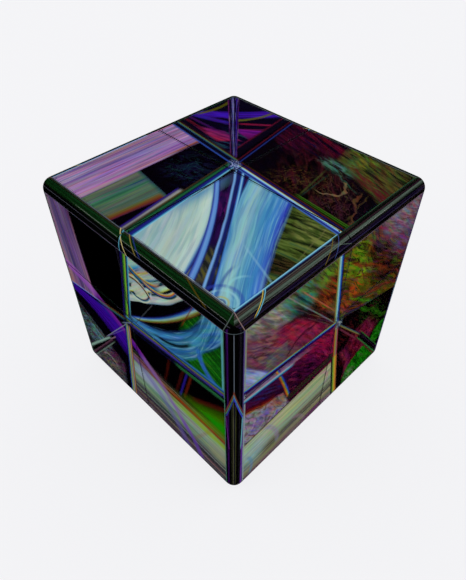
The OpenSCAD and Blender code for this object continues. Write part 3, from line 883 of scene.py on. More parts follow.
FRONT_LOWER_RIGHT = Pane(
    (((-2.7, 3.2), (-6.4, -23.4)), ((23.4, 5.2), (-2.6, 3))),
    (
        Ribbon(((9, 3.4), (6.6, -5.2)), thin("#380a04", 0.5, 0.9), (Streaks("#100202", 0.3, 8, 0.7),), ends=1.5),
        line(((12.9, 4.4), (9.8, -5.4)), "#300808", 0.5, 0.9, ends=1),
        line(((13.8, 4.2), (10.9, -5.6)), "#201470", 0.4, 0.9, ends=1),
        line(((14.8, 4.2), (12.2, -4.8)), "#4c1408", 0.45, 0.9, ends=1),
        Cloud((15.5, -3.6), (5, 2.6), (6, 0.8), ((0.4, "#0c1804", 0.5), (0.6, "#2c2c08", 0.9)), edge=0.8),
        Pane(
            (((13, -5), (23.4, -6.4)), ((23.4, 1.6), (13.4, -4.4))),
            (
                Cloud((21.6, -4.4), (8, 4), (6, 2), ((0.3, "#1c7800", 1), (0.5, "#0c8406", 1), (0.7, "#2c7000", 1)),
                      edge=0.9),
            ),
            ground="#345c00",
            soft=1.6,
        ),
        line(((23.4, 3.2), (14.8, -2.6)), "#3c0c08", 0.9, 0.8, ends=1.5),
        Pane(
            (((23.4, -5.4), (-7.4, -4.4)),),
            (
                Ribbon(((-6, -13), (24, -13.8)),
                       ((-11, "#443848", 1), (-9.4, "#4c2c44", 1), (-8.4, "#3c3440", 1), (-7, "#54383c", 1),
                        (-6.2, "#3c2c3c", 1), (-5.4, "#1c1424", 1), (-4.4, "#343840", 1), (-3.4, "#4c5850", 1),
                        (-2.6, "#687c68", 1), (-1.6, "#789478", 1), (-0.6, "#648464", 1), (0.6, "#80988c", 1),
                        (2.2, "#88a094", 1), (3.2, "#84ac70", 1), (3.9, "#74a430", 1), (4.5, "#688810", 1),
                        (5.3, "#6c3008", 1), (6.4, "#704008", 1), (7.4, "#3c2c04", 1), (8.4, "#0a0802", 0.8),
                        (9.2, "#000000", 0)),
                       (Streaks("#3c5448", 0.4, 24, 0.45, 0.4), Streaks("#98a890", 0.4, 30, 0.35, 0.35),
                        Streaks("#5c3c4c", 0.7, 14, 0.35, 0.3))),
                Shimmer(-2, (10, 0.85), 0.21),
            ),
            soft=1,
        ),
        Cloud((0.5, -10.5), (8, 3.6), (10, 3), ((0.3, "#8c98b4", 0.7), (0.7, "#949cb4", 0.9)), edge=0.8),
        Cloud((21, -14), (5, 4), (6, 3), ((0.3, "#8a8468", 0.5), (0.7, "#8a8a68", 0.7)), edge=0.8),
        Cloud((19, -6.4), (11, 2), (8, 0.6), ((0.3, "#5c8c08", 0.8), (0.6, "#4c6c04", 0.8)), edge=0.9, turn=3),
        Cloud((17, -9.6), (11, 2), (10, 0.6), ((0.3, "#7c9c28", 0.8), (0.6, "#88a438", 0.8)), edge=0.9),
        line(((9, -7.2), (23.4, -8)), "#8c1c08", 0.4, 0.8, ends=2),
        Cloud((1, -6.2), (6, 1.8), (6, 2), ((0.3, "#5c2044", 0.5), (0.7, "#78285c", 0.8)), edge=0.8),
        Ribbon(((1, -9.6), (7.4, -15.6), (11.6, -23.4)), thin("#54409c", 1.6, 0.5),
               (Streaks("#8078a8", 0.5, 9, 0.5),)),
        line(((14.5, -16.5), (19.5, -7.5)), "#8c4c3c", 0.6, 0.3, ends=2),
    ),
    ground="#020102",
)

FRONT_SEAMS = (
    Ribbon(((-24, 6.4), (-18, 5.6), (-12.6, 3.6)),
           ((-1.5, "#6c3c9c", 0), (-1, "#8c48ac", 0.75), (0.2, "#9854b4", 0.8), (0.9, "#a060b8", 0.6),
            (1.4, "#84509c", 0)), (Streaks("#7a54a4", 0.4, 12, 0.6, 0.4),), ends=1.2),
    Ribbon(((-13.6, 4), (-5.6, 0), (0.6, -4.4)),
           ((-1.3, "#300860", 0), (-0.8, "#4c1084", 0.9), (0.1, "#64188c", 0.95), (0.8, "#74208c", 0.85),
            (1.3, "#400c5c", 0)), (Streaks("#3c0c78", 0.4, 12, 0.6, 0.4),), ends=1),
    Ribbon(((-0.4, -3.8), (7, -9.6), (12, -16.2)),
           ((-1.3, "#6c50a0", 0), (-0.6, "#7454a0", 0.75), (0.3, "#84609c", 0.7), (1.3, "#7c5c84", 0)),
           (Streaks("#6058a4", 0.4, 12, 0.5, 0.4), Streaks("#a07c9c", 0.4, 12, 0.4, 0.4)), ends=1.4),
    Ribbon(((11, -14.6), (13.8, -18.4), (16, -23.6)),
           ((-1.2, "#58409c", 0), (-0.4, "#6440a0", 0.7), (0.4, "#6c3ca0", 0.7), (1.2, "#74489c", 0)),
           (Streaks("#40309c", 0.4, 9, 0.5),), ends=1.4),
    Ribbon(((0.75, 23.4), (-2.9, 3.6)),
           ((-1.3, "#04020c", 0), (-1, "#181058", 0.9), (-0.6, "#100c30", 1), (-0.3, "#2c5c1c", 1), (0, "#58a424", 1),
            (0.2, "#7c9430", 1), (0.4, "#0c1c3c", 1), (0.6, "#0c2c60", 1), (0.85, "#3c98b4", 1), (1.2, "#7ca8a8", 0)),
           ends=0.5),
    Ribbon(((-3, 4.3), (23.4, 7.5)),
           ((-2.4, "#020202", 0), (-2.1, "#0c0c30", 0.8), (-1.6, "#04040c", 1), (-1.2, "#100c20", 1),
            (-0.8, "#1c1c5c", 1), (-0.45, "#34348c", 1), (-0.2, "#4c3070", 1), (0, "#5c3030", 1), (0.2, "#648434", 1),
            (0.4, "#1c5048", 1), (0.7, "#1c2c7c", 1), (1, "#2c6ca8", 0.8), (1.4, "#2c6ca8", 0)), ends=0.5),
    Ribbon(((11, 3.9), (23.4, 5.6)),
           ((-0.7, "#0c1c10", 0), (-0.2, "#1c4c30", 1), (0.4, "#1c5c2c", 1), (0.8, "#0c2010", 0)), ends=0.8),
    Ribbon(((-23.4, 0.7), (-12, 2.7)),
           ((-0.5, "#1c1c9c", 0), (-0.25, "#2434b0", 0.9), (0, "#6484c4", 0.9), (0.25, "#a480a8", 0.5),
            (0.5, "#8c5c90", 0)), ends=1.2, taper=0.6),
    Ribbon(((-12.5, 2.5), (-3.2, 4.2)), DIM_LIGHT, ends=1, strength=0.7),
    Ribbon(((-3, 3.2), (-6.6, -23.4)),
           ((-1.2, "#060418", 0), (-0.95, "#1c1860", 0.95), (-0.7, "#1c4484", 1), (-0.5, "#74984c", 1),
            (-0.3, "#847c24", 1), (-0.05, "#8c9c98", 1), (0.15, "#3c2c68", 1), (0.4, "#b08c50", 1),
            (0.6, "#6c3828", 1), (0.9, "#3c2c30", 0)), ends=0.5, taper=1.15),
    line(((-3.4, 3), (-13.4, -9.2)), "#7c848c", 0.15, 0.75, ends=1.5),
    line(((-4.6, 0.4), (-12.8, -8.6)), "#5c4c8c", 0.18, 0.6, ends=1),
    line(((-9.4, -6), (-12.6, -9.6)), "#8c6c7c", 0.22, 0.8, ends=0.8),
    line(((-12, -8.4), (-23.4, -21)), "#88ac9c", 0.42, 0.9, ends=1.2, taper=1.3),
    line(((-11.6, -8.9), (-22.9, -21.7)), "#020104", 0.7, ends=1.2, taper=1.3),
    Ribbon(((-10.6, -8.4), (-21.8, -22.6)),
           ((-0.8, "#1c1008", 0), (-0.55, "#5c3c4c", 0.9), (-0.3, "#301828", 1), (0, "#100810", 1),
            (0.3, "#64786c", 0.9), (0.55, "#1c1c1c", 0)), ends=1.2, taper=1.2),
    line(((-3.6, 3), (-2.6, 4.2)), "#04030a", 1.6, 0.9, ends=1),
    line(((-5, 2), (-1.2, 5)), "#6c7c90", 0.2, 0.6, ends=0.8),
)

RIGHT_NEAR = Pane(
    (((1.3, 5.2), (-1.3, 23.4)), ((-23.4, 8.3), (1.4, 5))),
    (
        Ribbon(((-21, 27), (0, 2)),
               ((-16, "#50383c", 1), (-10, "#5a3446", 1), (-6, "#583844", 1), (-2, "#4c2430", 1), (0, "#30201c", 1),
                (3, "#5c3018", 1), (5, "#54441c", 1), (8, "#3c4c24", 1)),
               (Streaks("#745c58", 0.91, 5, 0.3, 0.4), Streaks("#2c1018", 0.78, 6, 0.36, 0.4),
                Streaks("#6c4030", 0.65, 5, 0.3, 0.35))),
        Cloud((-17.5, 21.5), (13, 5), (5, 1), ((0.36, "#5c5854", 0.9), (0.5, "#787870", 1), (0.62, "#909484", 1)),
              turn=-40, edge=0.7, swirl=0.5),
        Cloud((-11, 21), (8, 4.5), (5, 0.7), ((0.4, "#2c4c2c", 0.6), (0.52, "#4c7444", 0.9), (0.62, "#1c6c64", 0.9)),
              turn=-45, edge=0.7),
        Cloud((-10.5, 17.6), (6, 4), (5, 0.7), ((0.42, "#142c2c", 0.5), (0.56, "#24706a", 0.85)), turn=-50, edge=0.8),
        Cloud((-3.6, 21), (4.5, 4), (5, 0.6), ((0.42, "#2c3c10", 0.5), (0.54, "#5c7c20", 0.9)), turn=-50, edge=0.7),
        Cloud((-18.5, 15.5), (7, 5), (4, 0.8),
              ((0.38, "#40202c", 0.8), (0.5, "#683c50", 0.9), (0.62, "#7c5450", 0.9)), turn=-35, edge=0.7, swirl=0.5),
        Cloud((-3, 15.5), (5, 7.5), (5, 0.7),
              ((0.36, "#240c06", 0.9), (0.48, "#6a2410", 0.95), (0.56, "#843c14", 0.9), (0.66, "#3c4c10", 0.9)),
              turn=-50, edge=0.6, swirl=0.3),
        Ribbon(((-15.6, 15.2), (-7.6, 12.2), (-1.6, 5.6)),
               ((-5.2, "#501c34", 0), (-4.2, "#641c38", 0.9), (-1.6, "#84203f", 1), (0.8, "#7c1634", 1),
                (1.9, "#500c1c", 0.95), (2.8, "#20080c", 0)),
               (Streaks("#34061a", 0.72, 5, 0.48, 0.45), Streaks("#98384c", 0.65, 4, 0.36, 0.35)), ends=1.6,
               wave=(0.4, 4)),
        line(((-13.4, 6.2), (-8.6, 10.4), (-2, 7.6)), "#2c0416", 0.6, 0.7, ends=1.5, wave=(0.4, 3)),
        Cloud((-16, 10.5), (5.5, 3.6), (4, 0.8),
              ((0.38, "#34203c", 0.6), (0.52, "#5c4058", 0.8), (0.64, "#7c6458", 0.8)), turn=-15, edge=0.7,
              swirl=0.4),
        Pane(
            (((-18, 8.2), (-12.4, 7.4)), ((-12.4, 7.4), (-13, 12.2)), ((-13, 12), (-18, 12.2)),
             ((-17.8, 12.2), (-17.8, 8))),
            (
                Ribbon(((-18, 10), (-12.6, 10)), ((-2.4, "#4c4050", 0.6), (0, "#546050", 0.6), (2.2, "#5c6450", 0.6)),
                       (Streaks("#70606c", 0.65, 5, 0.42, 0.45), Streaks("#3c4c34", 0.52, 5, 0.36, 0.4))),
            ),
            strength=0.8,
            soft=0.3,
        ),
        Ribbon(((-12, 18.6), (0.4, 6.6)),
               ((-1.6, "#0c0408", 0), (-0.8, "#140608", 0.85), (0.4, "#0c0808", 0.85), (1.4, "#1c0808", 0)),
               (Streaks("#6c5c4c", 0.26, 9, 0.48, 0.36), Streaks("#242848", 0.39, 9, 0.36, 0.35)), ends=2.4),
        line(((-14.5, 23.4), (0.8, 5.4)), "#748c7c", 0.18, 0.6, ends=2),
        line(((-13.4, 23.4), (1, 6.2)), "#08080c", 0.35, 0.7, ends=2),
        line(((-10.4, 21.4), (1, 8)), "#a46444", 0.18, 0.6, ends=2),
        line(((-8.8, 21.8), (0.8, 10.6)), "#101010", 0.3, 0.6, ends=2),
        Pane(
            (((-23.4, 14.8), (-23.4, 8)), ((-23.4, 8.3), (-16.2, 7.3)), ((-16.4, 7.2), (-23.4, 15))),
            (
                Ribbon(((-23, 14.6), (-17, 7.4)),
                       ((-5, "#5c64a4", 1), (-2.6, "#747cb4", 1), (-1, "#8ca4c8", 1), (-0.3, "#6470b0", 1),
                        (0.4, "#5c4c80", 1)),
                       (Streaks("#a4b8cc", 0.52, 9, 0.36), Streaks("#5454a0", 0.52, 8, 0.3, 0.4))),
            ),
            ground="#6a74a8",
            strength=0.92,
            soft=0.2,
        ),
        Shimmer(-50, (4.5, 0.77), 0.32),
        # Painted highlight: a pale line along the border with the near upright edge.
        line(((-22.6, 23.4), (-22.6, 8.2)), "#84947c", 0.25, 0.8),
    ),
    ground="#50303a",
)

RIGHT_UPPER_RIGHT = Pane(
    (((-0.7, 23.4), (2, 4.4)), ((2, 4.6), (23.4, -0.8))),
    (
        Ribbon(((-3, 23), (26, 0)),
               ((-16, "#0c0608", 1), (-12, "#14080a", 1), (-9, "#2c1010", 1), (-6, "#34280c", 1), (-3, "#44480c", 1),
                (0, "#2c180c", 1), (3, "#341810", 1), (6, "#442838", 1), (8, "#5c4858", 1), (11, "#6c5c68", 1),
                (16, "#746874", 1)),
               (Streaks("#5c7410", 0.9, 7, 0.41, 0.34), Streaks("#0a0404", 0.9, 8, 0.47, 0.42),
                Streaks("#8c3c14", 0.75, 6, 0.39, 0.34), Streaks("#74405c", 0.68, 7, 0.28, 0.34)), wave=(1.2, 9)),
        Cloud((4, 19), (6, 6), (4.5, 0.9),
              ((0.38, "#1c2408", 0.9), (0.5, "#54700c", 1), (0.58, "#6c7c1c", 1), (0.68, "#7c4014", 1)), turn=-42,
              edge=0.8, swirl=0.9),
        Cloud((18, 20.5), (10, 5.5), (7, 0.9),
              ((0.36, "#54404c", 0.9), (0.48, "#6c5c68", 1), (0.58, "#80707c", 1), (0.68, "#7c4c60", 1)), turn=-30,
              edge=0.7, swirl=0.6),
        Cloud((20.5, 14.2), (6, 4.5), (6, 0.8), ((0.42, "#34203c", 0.4), (0.54, "#5c3c68", 0.9)), turn=-36, edge=0.8),
        Cloud((7, 14), (5, 4), (4, 0.9), ((0.44, "#445c10", 0.2), (0.56, "#648414", 0.9)), turn=-50, edge=0.8,
              swirl=0.8),
        Cloud((11.6, 16), (7, 3.2), (6, 0.7), ((0.42, "#140c06", 0.3), (0.54, "#0c0806", 0.85)), turn=-36, edge=0.7),
        Cloud((5, 10), (4.5, 5), (4, 0.8), ((0.42, "#44200c", 0.3), (0.54, "#944014", 0.85)), turn=-55, edge=0.8,
              swirl=0.8),
        Cloud((16, 8.5), (8, 5), (6, 0.8), ((0.38, "#040204", 0.95), (0.5, "#140a0a", 0.9), (0.62, "#3c1414", 0.8)),
              turn=-40, edge=0.8),
        Cloud((19.5, 9), (2.6, 1.6), (3, 0.7), ((0.4, "#1c2c08", 0.3), (0.54, "#3c5014", 0.8)), turn=-30, edge=0.8),
        Ribbon(((4.2, 9.6), (12.4, 2.4), (21.4, -6)), ((-1, "#142c08", 0), (0, "#3c7c10", 0.9), (0.9, "#142c08", 0)),
               (Streaks("#0c1404", 0.52, 5, 0.5, 0.42),), ends=3, wave=(0.6, 5)),
        Ribbon(((6, 8.8), (22.8, 0.6)), ((-1.2, "#48101c", 0), (0, "#641820", 0.85), (1, "#48101c", 0)),
               (Streaks("#140408", 0.52, 5, 0.5, 0.45), Streaks("#3c5414", 0.45, 4, 0.33, 0.3)), ends=3,
               wave=(0.6, 5)),
        Ribbon(((2.6, 18.6), (18, 7.4)), thin("#6c2c14", 0.7, 0.7), (Streaks("#140c04", 0.45, 5, 0.5, 0.42),), ends=3,
               wave=(0.6, 5)),
        line(((10, 22.6), (22.8, 12.6)), "#7c3450", 0.3, 0.6, ends=2, wave=(0.5, 5)),
        line(((14.6, 22.8), (22.8, 17.4)), "#7c4464", 0.3, 0.7, ends=1.5, wave=(0.4, 4)),
        line(((2.2, 5.4), (18, 0.4)), "#141c3c", 0.5, 0.6, ends=2),
        Shimmer(-40, (5, 0.77), 0.36),
    ),
    ground="#1c1010",
)

RIGHT_LOWER_LEFT = Pane(
    (((1.7, 4), (-23.4, 7.6)), ((6.3, -23.4), (1.8, 4.1))),
    (
        Ribbon(((-12.6, 5.4), (-4.4, 1.4), (1.6, -7.6)),
               ((-7, "#1c0418", 0.9), (-4, "#2c0428", 1), (-1.5, "#500a34", 1), (0.6, "#740e38", 1),
                (3, "#80103a", 1), (6, "#681434", 1)),
               (Streaks("#200414", 0.5, 4, 0.8, 0.45), Streaks("#882848", 0.45, 4, 0.55, 0.3)), wave=(0.5, 4)),
        Cloud((-6, -2.2), (6.5, 4), (4, 0.7), ((0.4, "#0c020c", 0.9), (0.52, "#2c0428", 0.8), (0.62, "#4c0c38", 0.5)),
              turn=-40, edge=0.7),
        Cloud((0.4, 1), (3, 4.4), (3, 0.6), ((0.42, "#50082c", 0.4), (0.54, "#801038", 0.9)), turn=-60, edge=0.8),
        Cloud((-18, 3.4), (8, 3.4), (5, 0.6), ((0.4, "#1c0828", 0.9), (0.5, "#380c34", 0.95), (0.6, "#1c1c50", 0.95)),
              turn=-35, edge=0.5),
        Pane(
            (((-23.4, 7.4), (-23.4, 5.6)), ((-23.4, 5.6), (-10.5, 3.9))),
            (
                Ribbon(((-23.4, 6.6), (-8, 4.4)),
                       ((-1, "#8c6c7c", 1), (-0.3, "#6c5074", 1), (0.3, "#443058", 1), (0.8, "#241038", 1)),
                       (Streaks("#8c7c8c", 0.3, 9, 0.4),), ends=5),
            ),
            soft=0.2,
        ),
        Pane(
            (((-23.4, -9.2), (-10.2, -8.4)), ((-10.4, -8.2), (-13.4, -1)), ((-12.6, -2.9), (-23.4, 1.3))),
            (
                Cloud((-18.5, -5), (9, 7), (4, 1.2),
                      ((0.36, "#604c54", 1), (0.48, "#787078", 1), (0.58, "#848488", 1), (0.68, "#6c5494", 1)),
                      turn=-62, edge=0.02, swirl=0.9),
                Cloud((-13.6, -4), (3.4, 3.4), (4, 0.6), ((0.42, "#5c3c30", 0.4), (0.54, "#8c6048", 0.85)), turn=-60),
                Cloud((-18.4, -5.6), (2.4, 4), (5, 0.7), ((0.4, "#4c3c84", 0.3), (0.54, "#645498", 0.8)), turn=-64),
                line(((-22, -1.6), (-20, -4.4), (-22.6, -6.6)), "#947c9c", 0.4, 0.6, ends=0.8),
                line(((-19.6, -3), (-17.4, -6), (-19.4, -8.4)), "#8c74a4", 0.4, 0.6, ends=0.8),
                line(((-16.4, -3.4), (-15, -6.4), (-16, -8.4)), "#947484", 0.35, 0.6, ends=0.8),
            ),
            ground="#66586a",
            soft=0.3,
        ),
        Ribbon(((-23.6, 2), (-15.4, -2)),
               ((-0.9, "#8c7c5c", 0), (-0.5, "#8c6c3c", 0.8), (-0.1, "#84401c", 0.9), (0.4, "#6a140c", 1),
                (1, "#3c0614", 0.9), (1.7, "#180220", 0)), (Streaks("#3c0c14", 0.5, 2.5, 0.7),), ends=0.8,
               wave=(0.4, 4)),
        Ribbon(((-14.1, 3.9), (-12.7, 0.2), (-10.2, -7.8)),
               ((-0.5, "#541c18", 0), (-0.3, "#9c3c18", 0.9), (-0.05, "#98741c", 1), (0.1, "#4c7440", 1),
                (0.28, "#24389c", 1), (0.5, "#180c58", 0.7), (0.75, "#180820", 0)), ends=0.6, taper=1.2),
        Shimmer(-45, (4, 0.77), 0.29),
        Ribbon(((-10.6, -6.5), (3.6, -5.9)),
               ((-1.6, "#180408", 0), (-1.35, "#0a0606", 0.95), (-1.1, "#500c28", 0.9), (-0.75, "#060606", 1),
                (-0.5, "#1c4424", 0.95), (-0.25, "#060606", 1), (0.05, "#4c0c24", 0.7), (0.3, "#060606", 1),
                (0.5, "#2c4420", 0.9), (0.7, "#060606", 1), (0.95, "#440a20", 0.7), (1.15, "#0a0808", 0.9),
                (1.4, "#1c0418", 0)), ends=0.6),
        Pane(
            (((5.6, -8), (-23.4, -9.6)),),
            (
                Ribbon(((-24, -14.6), (6, -13.4)),
                       ((-9.6, "#704c78", 1), (-8.6, "#6c5068", 1), (-7.6, "#604850", 1), (-6.4, "#787458", 1),
                        (-5.4, "#7c7c58", 1), (-4.7, "#4c4444", 1), (-3.8, "#504a46", 1), (-2.8, "#646c58", 1),
                        (-1.8, "#84947c", 1), (-0.8, "#889c88", 1), (0.6, "#98a880", 1), (2.4, "#a4b080", 1),
                        (4, "#acb48c", 1), (5, "#b0b48c", 1), (5.5, "#988c50", 1), (5.8, "#7c3c1c", 1),
                        (6.2, "#38080c", 0.9), (6.6, "#14040c", 0)),
                       (Streaks("#98a084", 0.4, 26, 0.45, 0.38), Streaks("#505848", 0.4, 22, 0.5, 0.4),
                        Streaks("#a49c6c", 0.6, 20, 0.35, 0.3))),
                Cloud((-20.5, -14.5), (6.5, 7.5), (2.5, 4), ((0.3, "#7ca8a0", 0.5), (0.6, "#8cb0b0", 0.75)), edge=0.9,
                      turn=10),
                Ribbon(((-17, -9.6), (-13.8, -14.2), (-12.8, -19.6)), thin("#8878a0", 0.8, 0.6),
                       (Streaks("#7c8470", 0.3, 3, 0.6),), ends=1.4),
                line(((-21.6, -15), (-20.2, -18.4), (-20.8, -22.4)), "#5c80a0", 0.6, 0.6, ends=1.4),
                line(((-1.4, -8.6), (1.8, -11), (2, -14.6)), "#a87c8c", 0.6, 0.6, ends=1.2),
                line(((-9.6, -15.6), (-5.6, -18.6), (-4, -21.6)), "#8c7480", 0.7, 0.5, ends=1.5),
                Cloud((-1, -22), (7, 1.6), (6, 0.6), ((0.38, "#400c34", 0.4), (0.5, "#64185c", 0.9)), edge=0.8),
                Shimmer(0, (8, 0.85), 0.17),
            ),
            soft=0.25,
        ),
        # Painted highlight: a pale line along the border with the near upright edge.
        line(((-22.6, 8), (-22.6, -23.4)), "#8ca0a4", 0.25, 0.8),
    ),
    ground="#380828",
)

RIGHT_LOWER_RIGHT = Pane(
    (((2.3, 3.6), (7.4, -23.4)), ((23.4, -0.8), (2.2, 4.4))),
    (
        Cloud((16, -4), (10, 5), (6, 0.6), ((0.44, "#020202", 0), (0.54, "#143808", 0.85), (0.66, "#300c10", 0.8)),
              turn=-46, edge=0.7, swirl=0.3),
        Cloud((6.4, -2), (3.6, 5), (5, 0.6), ((0.44, "#040204", 0.2), (0.56, "#400c10", 0.8)), turn=-50, edge=0.8),
        Pane(
            (((6.6, -12), (12, -20)), ((12, -20), (19.6, -9.6)), ((19.4, -9.6), (14.4, -4)),
             ((14.6, -4), (8.6, -4.6)), ((9, -4.6), (6.4, -9.6)), ((6.4, -9.4), (6.6, -12.4))),
            (
                Ribbon(((7.6, -4.6), (12.6, -9.8), (13.4, -17.6)),
                       ((-6, "#30040e", 1), (-3, "#4c0c1c", 1), (0, "#5c0a26", 1), (3, "#641430", 1),
                        (6, "#400a1c", 1)),
                       (Streaks("#16020a", 0.84, 3.4, 0.63, 0.45), Streaks("#8c3048", 0.6, 3, 0.42, 0.3)),
                       wave=(0.8, 3)),
            ),
            ground="#4c0a20",
            soft=0.9,
        ),
        line(((8.6, -13), (8.2, -8), (13.6, -5)), "#100206", 0.4, 0.8, ends=1.5, wave=(0.4, 3)),
        line(((11.4, -15), (10.6, -10.5), (15.4, -8)), "#100206", 0.35, 0.8, ends=1.5, wave=(0.4, 3)),
        Ribbon(((5.6, -7.6), (9, -13.4), (9.6, -19.4)),
               ((-1.2, "#34081c", 0), (-0.2, "#7c2440", 0.85), (0.8, "#54103c", 0.8), (1.8, "#1c0410", 0)),
               (Streaks("#200410", 0.36, 4, 0.56),), ends=1.5, wave=(0.3, 3)),
        Cloud((15.8, -20.6), (6.9, 7), (4, 1.2),
              ((0.36, "#0a3c04", 1), (0.48, "#106008", 1), (0.58, "#14740a", 1), (0.7, "#2c6020", 1)), turn=-55,
              edge=0.16, swirl=0.7),
        Cloud((21.8, -13.8), (3.8, 3.6), (3, 1), ((0.36, "#0a4404", 1), (0.5, "#106408", 1), (0.64, "#246c18", 1)),
              turn=-50, edge=0.18, swirl=0.7),
        Cloud((12, -21), (3.4, 2.6), (3, 0.6), ((0.42, "#2c5420", 0.3), (0.56, "#54784c", 0.85)), turn=-55),
        line(((12.4, -16.4), (17, -23)), "#0a3806", 0.35, 0.7, ends=1.4, wave=(0.4, 3)),
        line(((15.6, -14.6), (20.6, -20.6)), "#0a3806", 0.3, 0.7, ends=1.4, wave=(0.4, 3)),
        Ribbon(((8.6, 3.4), (23.4, -10)), thin("#245c0c", 0.6, 0.8), (Streaks("#040c02", 0.36, 4, 0.63, 0.42),),
               ends=3, wave=(0.6, 6)),
        Shimmer(-50, (3.5, 0.85), 0.29),
    ),
    ground="#060204",
)

RIGHT_SEAMS = (
    Ribbon(((-1.3, 23.4), (1.6, 4.6)),
           ((-0.9, "#4c3c1c", 0), (-0.65, "#8c7c30", 0.9), (-0.4, "#5c9470", 1), (-0.15, "#98c4c8", 1),
            (0.1, "#3c84b4", 1), (0.35, "#1c3c98", 1), (0.6, "#100c40", 0.9), (0.9, "#040208", 0)), ends=0.5),
    Ribbon(((-23.4, 8.1), (1.6, 4.7)),
           ((-1.1, "#3c0c40", 0), (-0.8, "#2c0848", 0.8), (-0.4, "#14083c", 1), (-0.12, "#2c2090", 1),
            (0.08, "#3478b0", 1), (0.24, "#5ca070", 0.95), (0.42, "#84843c", 0.8), (0.7, "#6c3038", 0)), ends=0.4),
    Ribbon(((-23.4, 5.3), (-10.8, 3.6)),
           ((-0.75, "#140830", 0), (-0.5, "#1c1c60", 1), (-0.15, "#2c84a8", 1), (0.2, "#88a8a8", 1),
            (0.5, "#94748c", 0.8), (0.9, "#7c5c78", 0)), ends=1.2),
    Ribbon(((1.7, 4.4), (3.7, -7.6)),
           ((-0.8, "#50101c", 0), (-0.5, "#8c3420", 0.9), (-0.2, "#a47830", 1), (0, "#6c8440", 1),
            (0.2, "#8c6c64", 1), (0.45, "#8c3044", 0.9), (0.8, "#14060c", 0)), ends=0.4),
    Ribbon(((3.6, -7), (6.8, -23.4)),
           ((-1.3, "#14080c", 0), (-1.05, "#1c0c18", 1), (-0.75, "#14341c", 1), (-0.4, "#6c9434", 1),
            (-0.1, "#b0a02c", 1), (0.2, "#c09030", 1), (0.5, "#b05c20", 0.9), (0.9, "#6c5c4c", 0)), ends=0.6),
    Ribbon(((3.2, 2.6), (13, -8.4)),
           ((-0.45, "#0c0804", 0), (-0.25, "#3c1410", 0.8), (-0.05, "#7c7438", 0.9), (0.12, "#4c6c5c", 0.8),
            (0.3, "#141c40", 0.8), (0.5, "#040208", 0)), ends=1),
    line(((3.4, 1.4), (14.6, -12.2)), "#6c2c40", 0.3, 0.7, ends=1),
    Ribbon(((12, -7.4), (23.4, -22.4)),
           ((-1.1, "#04140a", 0), (-0.8, "#2c7c3c", 0.9), (-0.5, "#0c1408", 1), (-0.1, "#060206", 1),
            (0.3, "#1c0c20", 1), (0.6, "#080408", 1), (0.85, "#2c6430", 0.9), (1.1, "#040c04", 0)), ends=1.2),
    line(((10.5, -7), (22.6, -23.4)), "#501020", 0.3, 0.8, ends=1),
    Cloud((2.4, 3.6), (1.6, 1.6), (1.2, 0.6),
          ((0.35, "#060408", 0.9), (0.5, "#2c4068", 0.9), (0.66, "#a4b8b0", 0.95)), turn=-45, swirl=1.5, edge=0.8),
)


# The rounded edges, drawn along the edge and across its turn from -2.2 to 2.2 mm. Their pale border stripes, and the
# pale lines down the upright edge and round the near corner, are painted highlights.
EDGE_FRONT = (
    # The pale stripes at its two borders, near -2.14 and 2.08 mm, are painted highlights.
    Ribbon(((-25, 0), (25, 0)),
           ((-2.3, "#2c2838", 1), (-2.14, "#5c5468", 1), (-2, "#0a080c", 1), (-1.9, "#020203", 1),
            (-0.86, "#020203", 1), (-0.76, "#4c4c58", 1), (-0.66, "#030303", 1), (-0.1, "#030403", 1),
            (0.1, "#082008", 1), (0.5, "#0c3010", 1), (0.9, "#071c08", 1), (1.3, "#0c3414", 1), (1.6, "#0a1c0c", 1),
            (1.75, "#283018", 1), (1.95, "#18101c", 1), (2.08, "#5c646c", 1), (2.2, "#1c2024", 1)),
           (Streaks("#020402", 0.12, 14, 0.6, 0.45),)),
    line(((-2.6, 2.3), (0.2, -0.9)), "#c4b478", 0.14, 0.9),
    line(((-1.8, 2.4), (-0.6, -1.4)), "#58a8c0", 0.12, 0.8),
    line(((-0.4, 2.3), (3.4, -0.8)), "#847434", 0.14, 0.8, ends=0.4),
    line(((0.4, 2.3), (4.4, -0.6)), "#202c6c", 0.2, 0.8, ends=0.4),
    line(((13, 2.2), (19, -0.4)), "#4c3c0c", 0.2, 0.8, ends=0.5),
    # Painted highlight: a pale line across the edge at the near corner, which carries on the top's border highlight.
    line(((22.75, 2.5), (23.2, 0), (22.75, -2.5)), "#54605c", 0.1, 0.8, ends=0.3),
)
